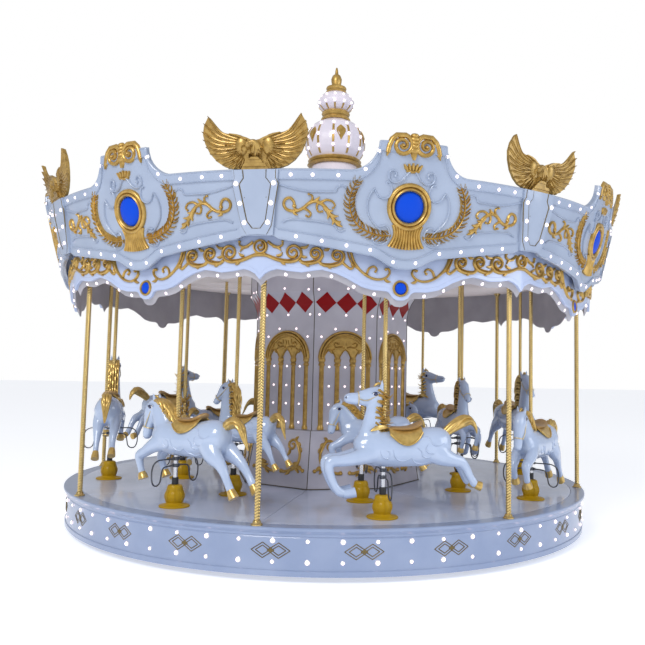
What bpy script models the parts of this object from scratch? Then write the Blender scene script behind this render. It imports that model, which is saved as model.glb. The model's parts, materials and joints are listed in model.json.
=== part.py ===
"""Fairground carousel with eight sides and sixteen lifting horses.

Metres, +Z up. The origin is on the ground under the spindle. Face 0 of the ride looks along -Y.
Angles go from -Y towards +X, so the middle of face k is at k times 45 degrees.
Horses are modelled in a frame of their own: forward, outward and up from the lift rod at belly height.
"""
import math

import bmesh
import bpy
from mathutils import Matrix, Vector

# Ride layout
SIDES = 8
SECTOR = math.tau / SIDES
DECK_RADIUS = 2.65
DECK_TOP = 0.40
CEILING_UNDERSIDE = 2.573
GAP = 0.0003

# Fixed ground frame
FOOT_RING_RADIUS = 1.95
RING_WIDTH = 0.12
FOOT_RADIUS = 0.12
FOOT_HEIGHT = 0.03
BEAM_TOP = 0.20
HUB_RADIUS = 0.35
HUB_TOP = 0.32
SPINDLE_RADIUS = 0.10
SPINDLE_TOP = 0.38
ROLLER_TOP = 0.334
ROLLER_SIZE = 0.16
SPOKE_WIDTH = 0.10
SPOKE_INSET = 0.01
FRAME_CLEARANCE = 0.03

# Floor panels, and the edge ring with its lip and skirt
FLOOR_RADIUS = 2.52
DECK_THICKNESS = 0.06
LIP_HEIGHT = 0.03
SKIRT_INSET = 0.03
SKIRT_WALL = 0.04
SKIRT_BOTTOM = 0.05
SECTOR_STEPS = 8
PIVOT_CLEARANCE = 0.005

# Bell stands and their rubber bushes, fixed to the floor panels
BELL_PROFILE = ((0.125, 0.0), (0.125, 0.012), (0.068, 0.030), (0.080, 0.075), (0.030, 0.178))
BELL_SUNK = 0.004
BUSH_TOP = 0.235
ROD_RADIUS = 0.020
ROD_CLEARANCE = 0.002
ROD_SIDES = 8
ROD_PHASE = math.pi / ROD_SIDES

# Horse rings: radius of the lift rods and size of the horses
RINGS = {"outer": {"radius": 2.25, "scale": 1.0}, "inner": {"radius": 1.53, "scale": 0.80}}
BELLY_HEIGHT = 0.440
ROD_FOOT = 0.11
ROD_HEAD = 0.15
OUTER_REST_LIFTS = (-0.05, -0.09, 0.02, 0.07, -0.06, 0.04, 0.09, -0.03)

# Centre column
PLINTH_FOOT_RADIUS = 0.98
PLINTH_HEAD_RADIUS = 0.875
PLINTH_HEIGHT = 0.551
DRUM_RADIUS = 0.835
FLARE_START = 1.70
FLARE_END = 1.91
FLARE_RADIUS = 0.914

# Canopy
POLE_RING_RADIUS = 2.60
POLE_RADIUS = 0.025
POLE_FLANGE_RADIUS = 0.045
POLE_FLANGE_HEIGHT = 0.03
CEILING_CLEARANCE = 0.002
CEILING_THICKNESS = 0.03
VALANCE_MID_RADIUS = 2.65
VALANCE_CORNER_RADIUS = 2.73
VALANCE_WALL = 0.03
BOARD_WALL = 0.04
BOARD_FOOT_MID_RADIUS = 2.777
BOARD_FOOT_CORNER_RADIUS = 2.804
BOARD_LEAN = 0.29
BOARD_REFERENCE_HEIGHT = 2.52
BOARD_FRACTIONS = (0.0, 0.08, 0.16, 0.215, 0.268, 0.33, 0.402, 0.60, 0.80)
PILASTER_FOOT_HALF_WIDTH = 0.12
PILASTER_HEAD_HALF_WIDTH = 0.17
PILASTER_DEPTH = 0.03
EAGLE_THICKNESS = 0.06
EAGLE_LEAN = 0.2

# Edges of a face of the canopy, as (fraction of the way from its middle to its corner, height)
VALANCE_FOOT = (
    (0.0, 2.07), (0.06, 2.09), (0.09, 2.135), (0.21, 2.14), (0.285, 2.158), (0.40, 2.22), (0.57, 2.278),
    (0.71, 2.252), (0.88, 2.276), (0.965, 2.245), (1.0, 2.195))
BOARD_FOOT = ((0.0, 2.297), (0.08, 2.318), (0.16, 2.352), (0.215, 2.378), (0.268, 2.388), (1.0, 2.51))
BOARD_HEAD = (
    (0.0, 3.26), (0.08, 3.25), (0.16, 3.19), (0.215, 3.19), (0.268, 3.075), (0.33, 3.005), (0.402, 2.975),
    (1.0, 2.975))

# Right half of the eagle's outline, as (outward, up) from the middle of its foot
EAGLE_OUTLINE = (
    (0.0, 0.0), (0.15, 0.0), (0.26, 0.06), (0.318, 0.13), (0.342, 0.21), (0.335, 0.28), (0.30, 0.355),
    (0.275, 0.29), (0.23, 0.25), (0.17, 0.225), (0.10, 0.225), (0.05, 0.195), (0.0, 0.185))
ROOF_RIM_RADIUS = 2.58
ROOF_EAVE_RADIUS = 2.74
ROOF_EAVE_HEIGHT = 2.86
ROOF_HEAD_RADIUS = 0.50
ROOF_HEAD_HEIGHT = 3.50
ROOF_WALL = 0.03

# Crown, from its pedestal to the finial: radius and height above the roof's head
CROWN_PROFILES = {
    "crown_pedestal": ((0.48, 0.0), (0.44, 0.06), (0.28, 0.14), (0.26, 0.25), (0.31, 0.29), (0.31, 0.32)),
    "crown_urn": ((0.27, 0.32), (0.325, 0.45), (0.33, 0.56), (0.27, 0.70), (0.15, 0.80), (0.12, 0.83),
                  (0.12, 0.89), (0.15, 0.92), (0.205, 1.02), (0.11, 1.13)),
    "crown_finial": ((0.11, 1.13), (0.10, 1.18), (0.05, 1.22), (0.06, 1.28), (0.045, 1.34), (0.01, 1.44)),
}
CROWN_SEGMENTS = 12

# Colours as red, green, blue, roughness, metallic
WHITE_GLOSS = (0.82, 0.83, 0.90, 0.20, 0.0)
ANTIQUE_GOLD = (0.62, 0.40, 0.08, 0.35, 0.9)
BRASS = (0.70, 0.50, 0.18, 0.25, 1.0)
DARK_STEEL = (0.10, 0.10, 0.11, 0.50, 0.8)
CHROME = (0.75, 0.75, 0.78, 0.12, 1.0)


def make_material(name, look):
    """Return a Principled material with one colour, roughness and metallic value."""
    red, green, blue, roughness, metallic = look
    result = bpy.data.materials.new(name)
    result.use_nodes = True
    shader = result.node_tree.nodes["Principled BSDF"]
    shader.inputs["Base Color"].default_value = (red, green, blue, 1.0)
    shader.inputs["Roughness"].default_value = roughness
    shader.inputs["Metallic"].default_value = metallic
    return result


def polar(radius, angle, height):
    """Point at an angle from -Y towards +X."""
    return Vector((radius * math.sin(angle), -radius * math.cos(angle), height))


def object_from(bm, name, material=None):
    """Turn a closed bmesh into an object with its faces pointing out."""
    bmesh.ops.recalc_face_normals(bm, faces=bm.faces)
    mesh = bpy.data.meshes.new(name)
    bm.to_mesh(mesh)
    bm.free()
    if material:
        mesh.materials.append(material)
    result = bpy.data.objects.new(name, mesh)
    bpy.context.scene.collection.objects.link(result)
    return result


def add_loft(bm, rings):
    """Skin equal rings of points one after another, and close both ends."""
    loops = [[bm.verts.new(point) for point in ring] for ring in rings]
    count = len(loops[0])
    for first, second in zip(loops, loops[1:]):
        for i in range(count):
            j = (i + 1) % count
            bm.faces.new((first[i], first[j], second[j], second[i]))
    bm.faces.new(loops[0])
    bm.faces.new(loops[-1])


def add_turned(bm, profile, segments, centre=Vector(), phase=0.0):
    """Turn a profile of (radius, height) pairs into a solid of rings, flat at both ends."""
    rings = []
    for radius, height in profile:
        ring = [polar(radius, phase + math.tau * i / segments, height) + centre for i in range(segments)]
        rings.append(ring)
    add_loft(bm, rings)


def turned(name, profile, segments, material=None, phase=0.0):
    bm = bmesh.new()
    add_turned(bm, profile, segments, phase=phase)
    return object_from(bm, name, material)


def add_annulus(bm, profile, angles):
    """Sweep a closed profile of (radius, height) pairs once around the axis."""
    loops = []
    for angle in angles:
        points = profile(angle) if callable(profile) else profile
        loops.append([bm.verts.new(polar(radius, angle, height)) for radius, height in points])
    for k, first in enumerate(loops):
        second = loops[(k + 1) % len(loops)]
        for i in range(len(first)):
            j = (i + 1) % len(first)
            bm.faces.new((first[i], first[j], second[j], second[i]))


def add_box(bm, size, centre, angle=0.0):
    """Box with its size along the radial direction first, turned to an angle around the axis."""
    turn = Matrix.Rotation(angle, 4, "Z")
    place = turn @ Matrix.Translation(centre) @ Matrix.Diagonal((*size, 1.0))
    bmesh.ops.create_cube(bm, size=1.0, matrix=place)


def combine(base, others, operation):
    """Join the others to the base, or cut them from it, and remove them."""
    for other in others:
        modifier = base.modifiers.new(operation.title(), "BOOLEAN")
        modifier.operation = operation
        modifier.object = other
    bpy.context.view_layer.update()
    depsgraph = bpy.context.evaluated_depsgraph_get()
    mesh = bpy.data.meshes.new_from_object(base.evaluated_get(depsgraph))
    base.modifiers.clear()
    base.data = mesh
    for other in others:
        bpy.data.objects.remove(other)
    return base


def ring_angles(count, phase=0.0):
    return [phase + math.tau * i / count for i in range(count)]


def rod_places():
    """Ring name, sector number, angle and radius of each lift rod."""
    for ring, layout in RINGS.items():
        for sector in range(SIDES):
            yield ring, sector, sector * SECTOR, layout["radius"]


def rest_lift(ring, sector):
    """The two horses of a sector hang on opposed cranks."""
    lift = OUTER_REST_LIFTS[sector]
    return lift if ring == "outer" else -lift


def rod_bores(name, low, high):
    """Cutter with a running hole for every lift rod."""
    bm = bmesh.new()
    radius = ROD_RADIUS + ROD_CLEARANCE
    for _, _, angle, ring_radius in rod_places():
        centre = polar(ring_radius, angle, 0.0)
        add_turned(bm, ((radius, low), (radius, high)), ROD_SIDES, centre, phase=angle + ROD_PHASE)
    return object_from(bm, name)


def base_frame(material):
    """Fixed track ring on eight feet, with spokes, a hub, roller blocks and the spindle."""
    bm = bmesh.new()
    inner = FOOT_RING_RADIUS - RING_WIDTH / 2
    outer = FOOT_RING_RADIUS + RING_WIDTH / 2
    beam_foot = FOOT_HEIGHT + FRAME_CLEARANCE
    profile = ((inner, beam_foot), (outer, beam_foot), (outer, BEAM_TOP), (inner, BEAM_TOP))
    add_annulus(bm, profile, ring_angles(16))
    ring = object_from(bm, "base_frame", material)
    parts = []
    hub_profile = (
        (HUB_RADIUS, 0.0), (HUB_RADIUS, HUB_TOP), (SPINDLE_RADIUS, HUB_TOP), (SPINDLE_RADIUS, SPINDLE_TOP))
    parts.append(turned("hub", hub_profile, SIDES))
    for k in range(SIDES):
        angle = (k + 0.5) * SECTOR
        bm = bmesh.new()
        spoke_height = BEAM_TOP - beam_foot - 2 * SPOKE_INSET
        spoke_centre = Vector((0.0, -FOOT_RING_RADIUS / 2, (BEAM_TOP + beam_foot) / 2))
        add_box(bm, (SPOKE_WIDTH, FOOT_RING_RADIUS, spoke_height), spoke_centre, angle)
        parts.append(object_from(bm, "spoke"))
        bm = bmesh.new()
        foot_head = beam_foot + SPOKE_INSET / 2
        add_turned(bm, ((FOOT_RADIUS, 0.0), (FOOT_RADIUS / 2, foot_head)), 6,
                   polar(FOOT_RING_RADIUS, angle, 0.0))
        parts.append(object_from(bm, "foot"))
        bm = bmesh.new()
        block_height = ROLLER_TOP - BEAM_TOP + SPOKE_INSET
        block_centre = Vector((0.0, -FOOT_RING_RADIUS, ROLLER_TOP - block_height / 2))
        add_box(bm, (ROLLER_SIZE, RING_WIDTH * 0.7, block_height), block_centre, angle)
        parts.append(object_from(bm, "roller_block"))
    return combine(ring, parts, "UNION")


def edge_ring(material):
    """Ring around the floor panels with the lip and the skirt."""
    wall_outer = DECK_RADIUS - SKIRT_INSET
    wall_inner = wall_outer - SKIRT_WALL
    underside = DECK_TOP - DECK_THICKNESS
    inner = FLOOR_RADIUS + GAP
    profile = (
        (inner, DECK_TOP), (DECK_RADIUS, DECK_TOP), (DECK_RADIUS, DECK_TOP - LIP_HEIGHT),
        (wall_outer, DECK_TOP - 1.6 * LIP_HEIGHT), (wall_outer, SKIRT_BOTTOM), (wall_inner, SKIRT_BOTTOM),
        (wall_inner, underside), (inner, underside))
    bm = bmesh.new()
    add_annulus(bm, profile, ring_angles(SIDES * SECTOR_STEPS))
    return object_from(bm, "skirt", material)


def panel_outline(middle, height):
    """Outline of a wedge of the floor between two radial seams."""
    outline = []
    for radius, direction in ((FLOOR_RADIUS, 1), (SPINDLE_RADIUS + PIVOT_CLEARANCE, -1)):
        half = SECTOR / 2 - math.asin(GAP / radius)
        for i in range(SECTOR_STEPS + 1):
            turn = SECTOR * (i / SECTOR_STEPS - 0.5)
            turn = max(-half, min(half, turn))
            outline.append(polar(radius, middle + direction * turn, height))
    return outline


def floor_panel(k, material):
    """Wedge of the floor under face k, with two bell stands and a running hole in each."""
    middle = k * SECTOR
    underside = DECK_TOP - DECK_THICKNESS
    bm = bmesh.new()
    add_loft(bm, [panel_outline(middle, underside), panel_outline(middle, DECK_TOP)])
    panel = object_from(bm, f"floor_panel_{k + 1}", material)
    bm = bmesh.new()
    foot = (BELL_PROFILE[0][0], -BELL_SUNK)
    bush = (BELL_PROFILE[-1][0], BUSH_TOP)
    for layout in RINGS.values():
        centre = polar(layout["radius"], middle, DECK_TOP)
        add_turned(bm, (foot, *BELL_PROFILE[1:], bush), ROD_SIDES, centre, phase=middle)
    combine(panel, [object_from(bm, "bells")], "UNION")
    return combine(panel, [rod_bores("bores", underside - 0.05, DECK_TOP + BUSH_TOP + 0.05)], "DIFFERENCE")


def column(material):
    """Octagonal centre housing: battered plinth and drum with a flared head."""
    corner = SECTOR / 2
    foot = DECK_TOP + GAP
    plinth_head = DECK_TOP + PLINTH_HEIGHT
    plinth_profile = ((PLINTH_FOOT_RADIUS, foot), (PLINTH_HEAD_RADIUS, plinth_head))
    turned("column_plinth", plinth_profile, SIDES, material, phase=corner)
    drum_profile = (
        (DRUM_RADIUS, plinth_head + GAP), (DRUM_RADIUS, DECK_TOP + FLARE_START),
        (FLARE_RADIUS, DECK_TOP + FLARE_END), (FLARE_RADIUS, CEILING_UNDERSIDE - GAP))
    turned("column_drum", drum_profile, SIDES, material, phase=corner)


def canopy_frame(material):
    """Ceiling plate with a running hole for every lift rod, and the eight poles that carry it."""
    top = CEILING_UNDERSIDE + CEILING_THICKNESS
    rings = []
    for height in (CEILING_UNDERSIDE, top):
        ring = []
        for angle in ring_angles(SIDES * SECTOR_STEPS):
            radius = valance_radius(face_fraction(angle)) - VALANCE_WALL - CEILING_CLEARANCE
            ring.append(polar(radius, angle, height))
        rings.append(ring)
    bm = bmesh.new()
    add_loft(bm, rings)
    plate = object_from(bm, "canopy_frame", material)
    flange_foot = DECK_TOP + GAP
    flange_top = flange_foot + POLE_FLANGE_HEIGHT
    profile = (
        (POLE_FLANGE_RADIUS, flange_foot), (POLE_FLANGE_RADIUS, flange_top), (POLE_RADIUS, flange_top),
        (POLE_RADIUS, CEILING_UNDERSIDE + CEILING_THICKNESS / 2))
    bm = bmesh.new()
    for k in range(SIDES):
        angle = (k + 0.5) * SECTOR
        add_turned(bm, profile, SIDES, polar(POLE_RING_RADIUS, angle, 0.0), phase=angle)
    combine(plate, [object_from(bm, "poles")], "UNION")
    return combine(plate, [rod_bores("bores", CEILING_UNDERSIDE - 0.1, top + 0.1)], "DIFFERENCE")


def face_fraction(angle):
    """0 at the middle of a face and 1 at a corner, for any angle."""
    offset = (angle + SECTOR / 2) % SECTOR - SECTOR / 2
    return abs(offset) / (SECTOR / 2)


def edge_height(points, fraction):
    """Height of an edge of a face, straight between its points."""
    for (start, low), (end, high) in zip(points, points[1:]):
        if fraction <= end:
            return low + (high - low) * (fraction - start) / (end - start)
    return points[-1][1]


def valance_radius(fraction):
    """Outside radius of the valance."""
    return VALANCE_MID_RADIUS + (VALANCE_CORNER_RADIUS - VALANCE_MID_RADIUS) * fraction


def valance(material):
    """White band under the rounding boards, with its lower edge deepest at the middle of each face."""
    def section(angle):
        fraction = face_fraction(angle)
        outer = valance_radius(fraction)
        inner = outer - VALANCE_WALL
        foot = edge_height(VALANCE_FOOT, fraction)
        head = CEILING_UNDERSIDE + CEILING_THICKNESS
        return (outer, foot), (outer, head), (inner, head), (inner, foot)
    fractions = [fraction for fraction, _ in VALANCE_FOOT]
    turns = [-fraction for fraction in reversed(fractions[1:-1])] + fractions
    angles = [(k + turn / 2) * SECTOR for k in range(SIDES) for turn in turns]
    bm = bmesh.new()
    add_annulus(bm, section, angles)
    return object_from(bm, "valance", material)


def board_radius(fraction, height):
    """Outside radius of a rounding board, which leans outward."""
    foot = BOARD_FOOT_MID_RADIUS + (BOARD_FOOT_CORNER_RADIUS - BOARD_FOOT_MID_RADIUS) * fraction
    return foot + BOARD_LEAN * (height - BOARD_REFERENCE_HEIGHT) * (1 - 0.25 * fraction)


def eagle(corner, foot_height):
    """Flat eagle with raised wings that stands on a pilaster."""
    outline = list(EAGLE_OUTLINE)
    outline += [(-x, z) for x, z in reversed(outline[1:-1])]
    radius = board_radius(1.0, foot_height) - 0.01
    faces = []
    for depth in (-EAGLE_THICKNESS / 2, EAGLE_THICKNESS / 2):
        faces.append([Vector((x, -radius + depth - EAGLE_LEAN * z, foot_height + z)) for x, z in outline])
    bm = bmesh.new()
    add_loft(bm, faces)
    bmesh.ops.transform(bm, matrix=Matrix.Rotation(corner, 4, "Z"), verts=bm.verts)
    return object_from(bm, "eagle")


def rounding_board(k, material):
    """Leaning cornice board of face k with the pilaster and the eagle of its right-hand corner."""
    middle = k * SECTOR
    half = SECTOR / 2
    foot_half = PILASTER_FOOT_HALF_WIDTH / BOARD_FOOT_CORNER_RADIUS
    head_half = PILASTER_HEAD_HALF_WIDTH / BOARD_FOOT_CORNER_RADIUS
    step_angle = 0.0008
    fractions = [-fraction for fraction in reversed(BOARD_FRACTIONS[1:])] + list(BOARD_FRACTIONS)
    # Stations along the face as (angle at the foot, angle at the head, extra depth)
    stations = [(foot_half + GAP - half, head_half + GAP - half, 0.0)]
    stations += [(fraction * half, fraction * half, 0.0) for fraction in fractions]
    stations.append((half - foot_half, half - head_half, 0.0))
    stations.append((half - foot_half + step_angle, half - head_half + step_angle, PILASTER_DEPTH))
    stations.append((half, half, PILASTER_DEPTH))
    stations.append((half + foot_half, half + head_half, PILASTER_DEPTH))
    rings = []
    for foot_angle, head_angle, extra in stations:
        ring = []
        for at_head, inside in ((False, False), (True, False), (True, True), (False, True)):
            angle = head_angle if at_head else foot_angle
            fraction = min(1.0, abs(angle) / half)
            height = edge_height(BOARD_HEAD if at_head else BOARD_FOOT, fraction)
            radius = board_radius(fraction, height) + (-BOARD_WALL if inside else extra)
            ring.append(polar(radius, middle + angle, height))
        rings.append(ring)
    bm = bmesh.new()
    add_loft(bm, rings)
    board = object_from(bm, f"rounding_board_{k + 1}", material)
    return combine(board, [eagle(middle + half, BOARD_HEAD[-1][1] - 0.01)], "UNION")


def roof(material):
    """Shallow cone of sheet on an upright rim that stands on the ceiling plate."""
    rim_foot = CEILING_UNDERSIDE + CEILING_THICKNESS + GAP
    profile = (
        (ROOF_RIM_RADIUS - ROOF_WALL, rim_foot), (ROOF_RIM_RADIUS, rim_foot),
        (ROOF_RIM_RADIUS, ROOF_EAVE_HEIGHT - ROOF_WALL), (ROOF_EAVE_RADIUS, ROOF_EAVE_HEIGHT - ROOF_WALL),
        (ROOF_EAVE_RADIUS, ROOF_EAVE_HEIGHT), (ROOF_HEAD_RADIUS, ROOF_HEAD_HEIGHT),
        (0.10, ROOF_HEAD_HEIGHT), (0.10, ROOF_HEAD_HEIGHT - ROOF_WALL),
        (ROOF_HEAD_RADIUS, ROOF_HEAD_HEIGHT - ROOF_WALL),
        (ROOF_RIM_RADIUS - ROOF_WALL, ROOF_EAVE_HEIGHT - ROOF_WALL / 2))
    bm = bmesh.new()
    add_annulus(bm, profile, ring_angles(32))
    return object_from(bm, "roof", material)


def crown(white, gold):
    """Stacked turned pieces on the roof's head."""
    for name, profile in CROWN_PROFILES.items():
        lowest = profile[0][1]
        points = [(radius, ROOF_HEAD_HEIGHT + height + (GAP if height == lowest else 0.0))
                  for radius, height in profile]
        material = white if name == "crown_urn" else gold
        turned(name, points, CROWN_SEGMENTS, material)


def lift_rod(ring, sector, angle, radius, material):
    """Upright tube from the bell stand to above the ceiling, with the two foot loops under the belly."""
    lift = rest_lift(ring, sector)
    belly = DECK_TOP + BELLY_HEIGHT + lift
    foot = DECK_TOP + ROD_FOOT + lift
    head = CEILING_UNDERSIDE + ROD_HEAD + lift
    centre = polar(radius, angle, 0.0)
    bm = bmesh.new()
    turn = heading(ring, sector, angle)
    add_turned(bm, ((ROD_RADIUS, foot), (ROD_RADIUS, head)), ROD_SIDES, centre, phase=turn + ROD_PHASE)
    rod = object_from(bm, f"lift_rod_{ring}_{sector + 1}", material)
    loop = foot_loops(RINGS[ring]["scale"])
    loop.matrix_world = Matrix.Translation((*centre.xy, belly)) @ Matrix.Rotation(turn, 4, "Z")
    return combine(rod, [loop], "UNION")


def foot_loops(scale):
    """Closed square bar through the rod twice, with a loop for a foot on each side."""
    bar = 0.006
    side = ((0.0, -0.022), (0.200, -0.022), (0.262, -0.085), (0.258, -0.220), (0.170, -0.220),
            (0.150, -0.080), (0.0, -0.075))
    path = [(out * scale, up) for out, up in side]
    path += [(-out, up) for out, up in reversed(path[1:-1])]
    bm = bmesh.new()
    loops = []
    count = len(path)
    for i, point in enumerate(path):
        here = Vector(point)
        before = (here - Vector(path[i - 1])).normalized()
        after = (Vector(path[(i + 1) % count]) - here).normalized()
        along = (before + after).normalized()
        across = Vector((-along.y, along.x)) / max(0.5, along.dot(before))
        ring = []
        for side_sign, depth in ((1, -bar), (1, bar), (-1, bar), (-1, -bar)):
            place = here + across * bar * side_sign
            ring.append(bm.verts.new((depth, place.x, place.y)))
        loops.append(ring)
    for i, first in enumerate(loops):
        second = loops[(i + 1) % count]
        for a in range(4):
            b = (a + 1) % 4
            bm.faces.new((first[a], first[b], second[b], second[a]))
    return object_from(bm, "foot_loops")


# Horse poses. Each limb is a list of (forward, up, half width, half height), with its outward offset.
BODY = ((0.20, 0.17, 0.06, 0.07), (0.10, 0.155, 0.125, 0.145), (-0.20, 0.15, 0.130, 0.150),
        (-0.42, 0.175, 0.135, 0.150), (-0.54, 0.19, 0.07, 0.09))
SADDLE = ((0.04, 0.280, 0.10, 0.03), (-0.20, 0.295, 0.13, 0.04), (-0.33, 0.370, 0.08, 0.03))
POSES = {
    "leaping": {
        "neck": ((0.13, 0.20, 0.08, 0.10), (0.12, 0.54, 0.055, 0.07)),
        "head": ((0.055, 0.60, 0.045, 0.055), (0.17, 0.585, 0.05, 0.062), (0.34, 0.535, 0.03, 0.038)),
        "fore_leg": ((0.12, 0.10, 0.055, 0.06), (0.44, 0.07, 0.038, 0.04), (0.38, -0.16, 0.03, 0.03),
                     (0.25, -0.18, 0.03, 0.03)),
        "hind_leg": ((-0.42, 0.13, 0.06, 0.08), (-0.68, 0.06, 0.038, 0.042), (-0.82, -0.15, 0.03, 0.035)),
        "tail": ((-0.50, 0.27, 0.03, 0.03), (-0.60, 0.25, 0.035, 0.04), (-0.65, 0.10, 0.012, 0.015)),
    },
    "prancing": {
        "neck": ((0.13, 0.20, 0.08, 0.10), (0.25, 0.49, 0.055, 0.08)),
        "head": ((0.22, 0.52, 0.045, 0.06), (0.33, 0.43, 0.05, 0.06), (0.33, 0.25, 0.03, 0.035)),
        "fore_leg": ((0.12, 0.10, 0.055, 0.06), (0.43, 0.08, 0.038, 0.04), (0.38, -0.11, 0.03, 0.035)),
        "hind_leg": ((-0.42, 0.13, 0.06, 0.08), (-0.56, 0.00, 0.040, 0.045), (-0.72, -0.27, 0.03, 0.035)),
        "tail": ((-0.50, 0.27, 0.03, 0.03), (-0.62, 0.31, 0.035, 0.04), (-0.70, 0.07, 0.015, 0.018)),
    },
    "rearing": {
        "neck": ((0.13, 0.20, 0.08, 0.10), (0.14, 0.59, 0.055, 0.07)),
        "head": ((0.08, 0.63, 0.045, 0.06), (0.19, 0.59, 0.05, 0.06), (0.31, 0.46, 0.03, 0.035)),
        "fore_leg": ((0.12, 0.10, 0.055, 0.06), (0.40, 0.10, 0.038, 0.04), (0.34, -0.12, 0.03, 0.035)),
        "hind_leg": ((-0.42, 0.13, 0.06, 0.08), (-0.54, -0.02, 0.040, 0.045), (-0.66, -0.24, 0.03, 0.035)),
        "tail": ((-0.50, 0.27, 0.03, 0.03), (-0.62, 0.27, 0.04, 0.045), (-0.66, 0.05, 0.015, 0.018)),
    },
}
OUTER_POSES = ("leaping", "prancing", "rearing", "leaping", "prancing", "leaping", "rearing", "prancing")
INNER_POSES = ("prancing", "rearing", "leaping", "prancing", "rearing", "prancing", "leaping", "rearing")
LEG_OFFSET = 0.075
STRIDE = 0.02
# One inner horse is turned on its rod, away from the direction of travel
TURNED_HORSE = ("inner", 1)
TURNED_HORSE_ANGLE = math.radians(45)


def heading(ring, sector, angle):
    """Angle of a horse and its foot loops around their rod."""
    return angle + (TURNED_HORSE_ANGLE if (ring, sector) == TURNED_HORSE else 0.0)


def limb(stations, offset, sides, scale):
    """Tapered limb along a path, in model axes with the rod on the Z axis: forward is -X, outward is -Y."""
    points = [Vector((forward, 0.0, up)) for forward, up, _, _ in stations]
    rings = []
    for i, (_, _, half_width, half_height) in enumerate(stations):
        along = (points[min(i + 1, len(points) - 1)] - points[max(i - 1, 0)]).normalized()
        outward = Vector((0.0, 1.0, 0.0))
        across = along.cross(outward)
        ring = []
        for j in range(sides):
            turn = math.tau * (j + 0.5) / sides
            place = points[i] + outward * (half_width * math.cos(turn) + offset)
            place += across * half_height * math.sin(turn)
            ring.append(Vector((-place.x, -place.y, place.z)) * scale)
        rings.append(ring)
    bm = bmesh.new()
    add_loft(bm, rings)
    return object_from(bm, "limb")


def horse_mesh(pose_name, scale):
    """Horse of one pose as one solid, with a bore for its lift rod."""
    pose = POSES[pose_name]
    body = limb(BODY, 0.0, 6, scale)
    parts = [limb(pose[name], 0.0, 5, scale) for name in ("neck", "head")]
    parts.append(limb(SADDLE, 0.0, 4, scale))
    parts.append(limb(pose["tail"], 0.0, 4, scale))
    for side in (-1, 1):
        for leg in ("fore_leg", "hind_leg"):
            shoulder, *rest = pose[leg]
            stations = [shoulder] + [(forward + side * STRIDE, *size) for forward, *size in rest]
            parts.append(limb(stations, side * LEG_OFFSET, 4, scale))
    combine(body, parts, "UNION")
    bore_radius = ROD_RADIUS + GAP / math.cos(math.pi / ROD_SIDES)
    bore = turned("bore", ((bore_radius, -1.0), (bore_radius, 2.0)), ROD_SIDES, phase=ROD_PHASE)
    combine(body, [bore], "DIFFERENCE")
    mesh = body.data
    bpy.data.objects.remove(body)
    return mesh


def horses(material, rod_material):
    """Sixteen horses on their lift rods."""
    meshes = {}
    for ring, sector, angle, radius in rod_places():
        pose = (OUTER_POSES if ring == "outer" else INNER_POSES)[sector]
        scale = RINGS[ring]["scale"]
        if (pose, scale) not in meshes:
            mesh = horse_mesh(pose, scale)
            mesh.materials.append(material)
            meshes[pose, scale] = mesh
        horse = bpy.data.objects.new(f"horse_{ring}_{sector + 1}", meshes[pose, scale])
        bpy.context.scene.collection.objects.link(horse)
        horse.location = polar(radius, angle, DECK_TOP + BELLY_HEIGHT + rest_lift(ring, sector))
        horse.rotation_euler = (0.0, 0.0, heading(ring, sector, angle))
        lift_rod(ring, sector, angle, radius, rod_material)


def main():
    for old in list(bpy.data.objects):
        bpy.data.objects.remove(old)
    white = make_material("white_gloss", WHITE_GLOSS)
    gold = make_material("antique_gold", ANTIQUE_GOLD)
    brass = make_material("brass", BRASS)
    steel = make_material("dark_steel", DARK_STEEL)
    chrome = make_material("chrome", CHROME)
    base_frame(steel)
    edge_ring(white)
    column(white)
    canopy_frame(brass)
    valance(white)
    for k in range(SIDES):
        floor_panel(k, white)
        rounding_board(k, white)
    roof(white)
    crown(white, gold)
    horses(white, chrome)


main()
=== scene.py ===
"""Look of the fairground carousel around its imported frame.

Metres, +Z up, origin on the ground under the spindle. Face 0 of the ride looks along -Y.
Angles go from -Y towards +X. On a face, u runs across from its middle and z is the height.
A horse is modelled in a frame of its own: forward, outward and up from its rod at belly height.
"""
import json
import math

import bmesh
import bpy
from mathutils import Matrix, Vector

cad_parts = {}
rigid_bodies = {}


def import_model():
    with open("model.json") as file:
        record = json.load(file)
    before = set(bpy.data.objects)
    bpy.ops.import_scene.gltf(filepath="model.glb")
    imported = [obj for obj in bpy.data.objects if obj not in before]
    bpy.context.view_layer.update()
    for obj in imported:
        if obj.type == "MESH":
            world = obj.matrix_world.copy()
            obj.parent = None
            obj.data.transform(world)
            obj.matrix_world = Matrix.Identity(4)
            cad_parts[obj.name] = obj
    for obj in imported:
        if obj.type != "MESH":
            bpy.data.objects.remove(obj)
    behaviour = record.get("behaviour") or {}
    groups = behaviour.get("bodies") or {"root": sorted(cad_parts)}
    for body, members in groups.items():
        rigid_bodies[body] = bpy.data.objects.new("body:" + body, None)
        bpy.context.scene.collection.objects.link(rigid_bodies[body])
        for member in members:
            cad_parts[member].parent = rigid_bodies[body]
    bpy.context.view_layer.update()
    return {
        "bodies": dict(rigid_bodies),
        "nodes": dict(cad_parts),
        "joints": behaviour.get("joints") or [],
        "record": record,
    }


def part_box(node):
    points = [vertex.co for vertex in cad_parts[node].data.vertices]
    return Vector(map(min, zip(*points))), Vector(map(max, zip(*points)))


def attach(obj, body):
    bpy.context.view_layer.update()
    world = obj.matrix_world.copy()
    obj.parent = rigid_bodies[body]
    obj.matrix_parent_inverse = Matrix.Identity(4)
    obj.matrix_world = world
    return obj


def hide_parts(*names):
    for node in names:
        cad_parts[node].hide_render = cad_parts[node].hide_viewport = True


SIDES = 8
SECTOR = math.tau / SIDES
HALF = SECTOR / 2

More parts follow.
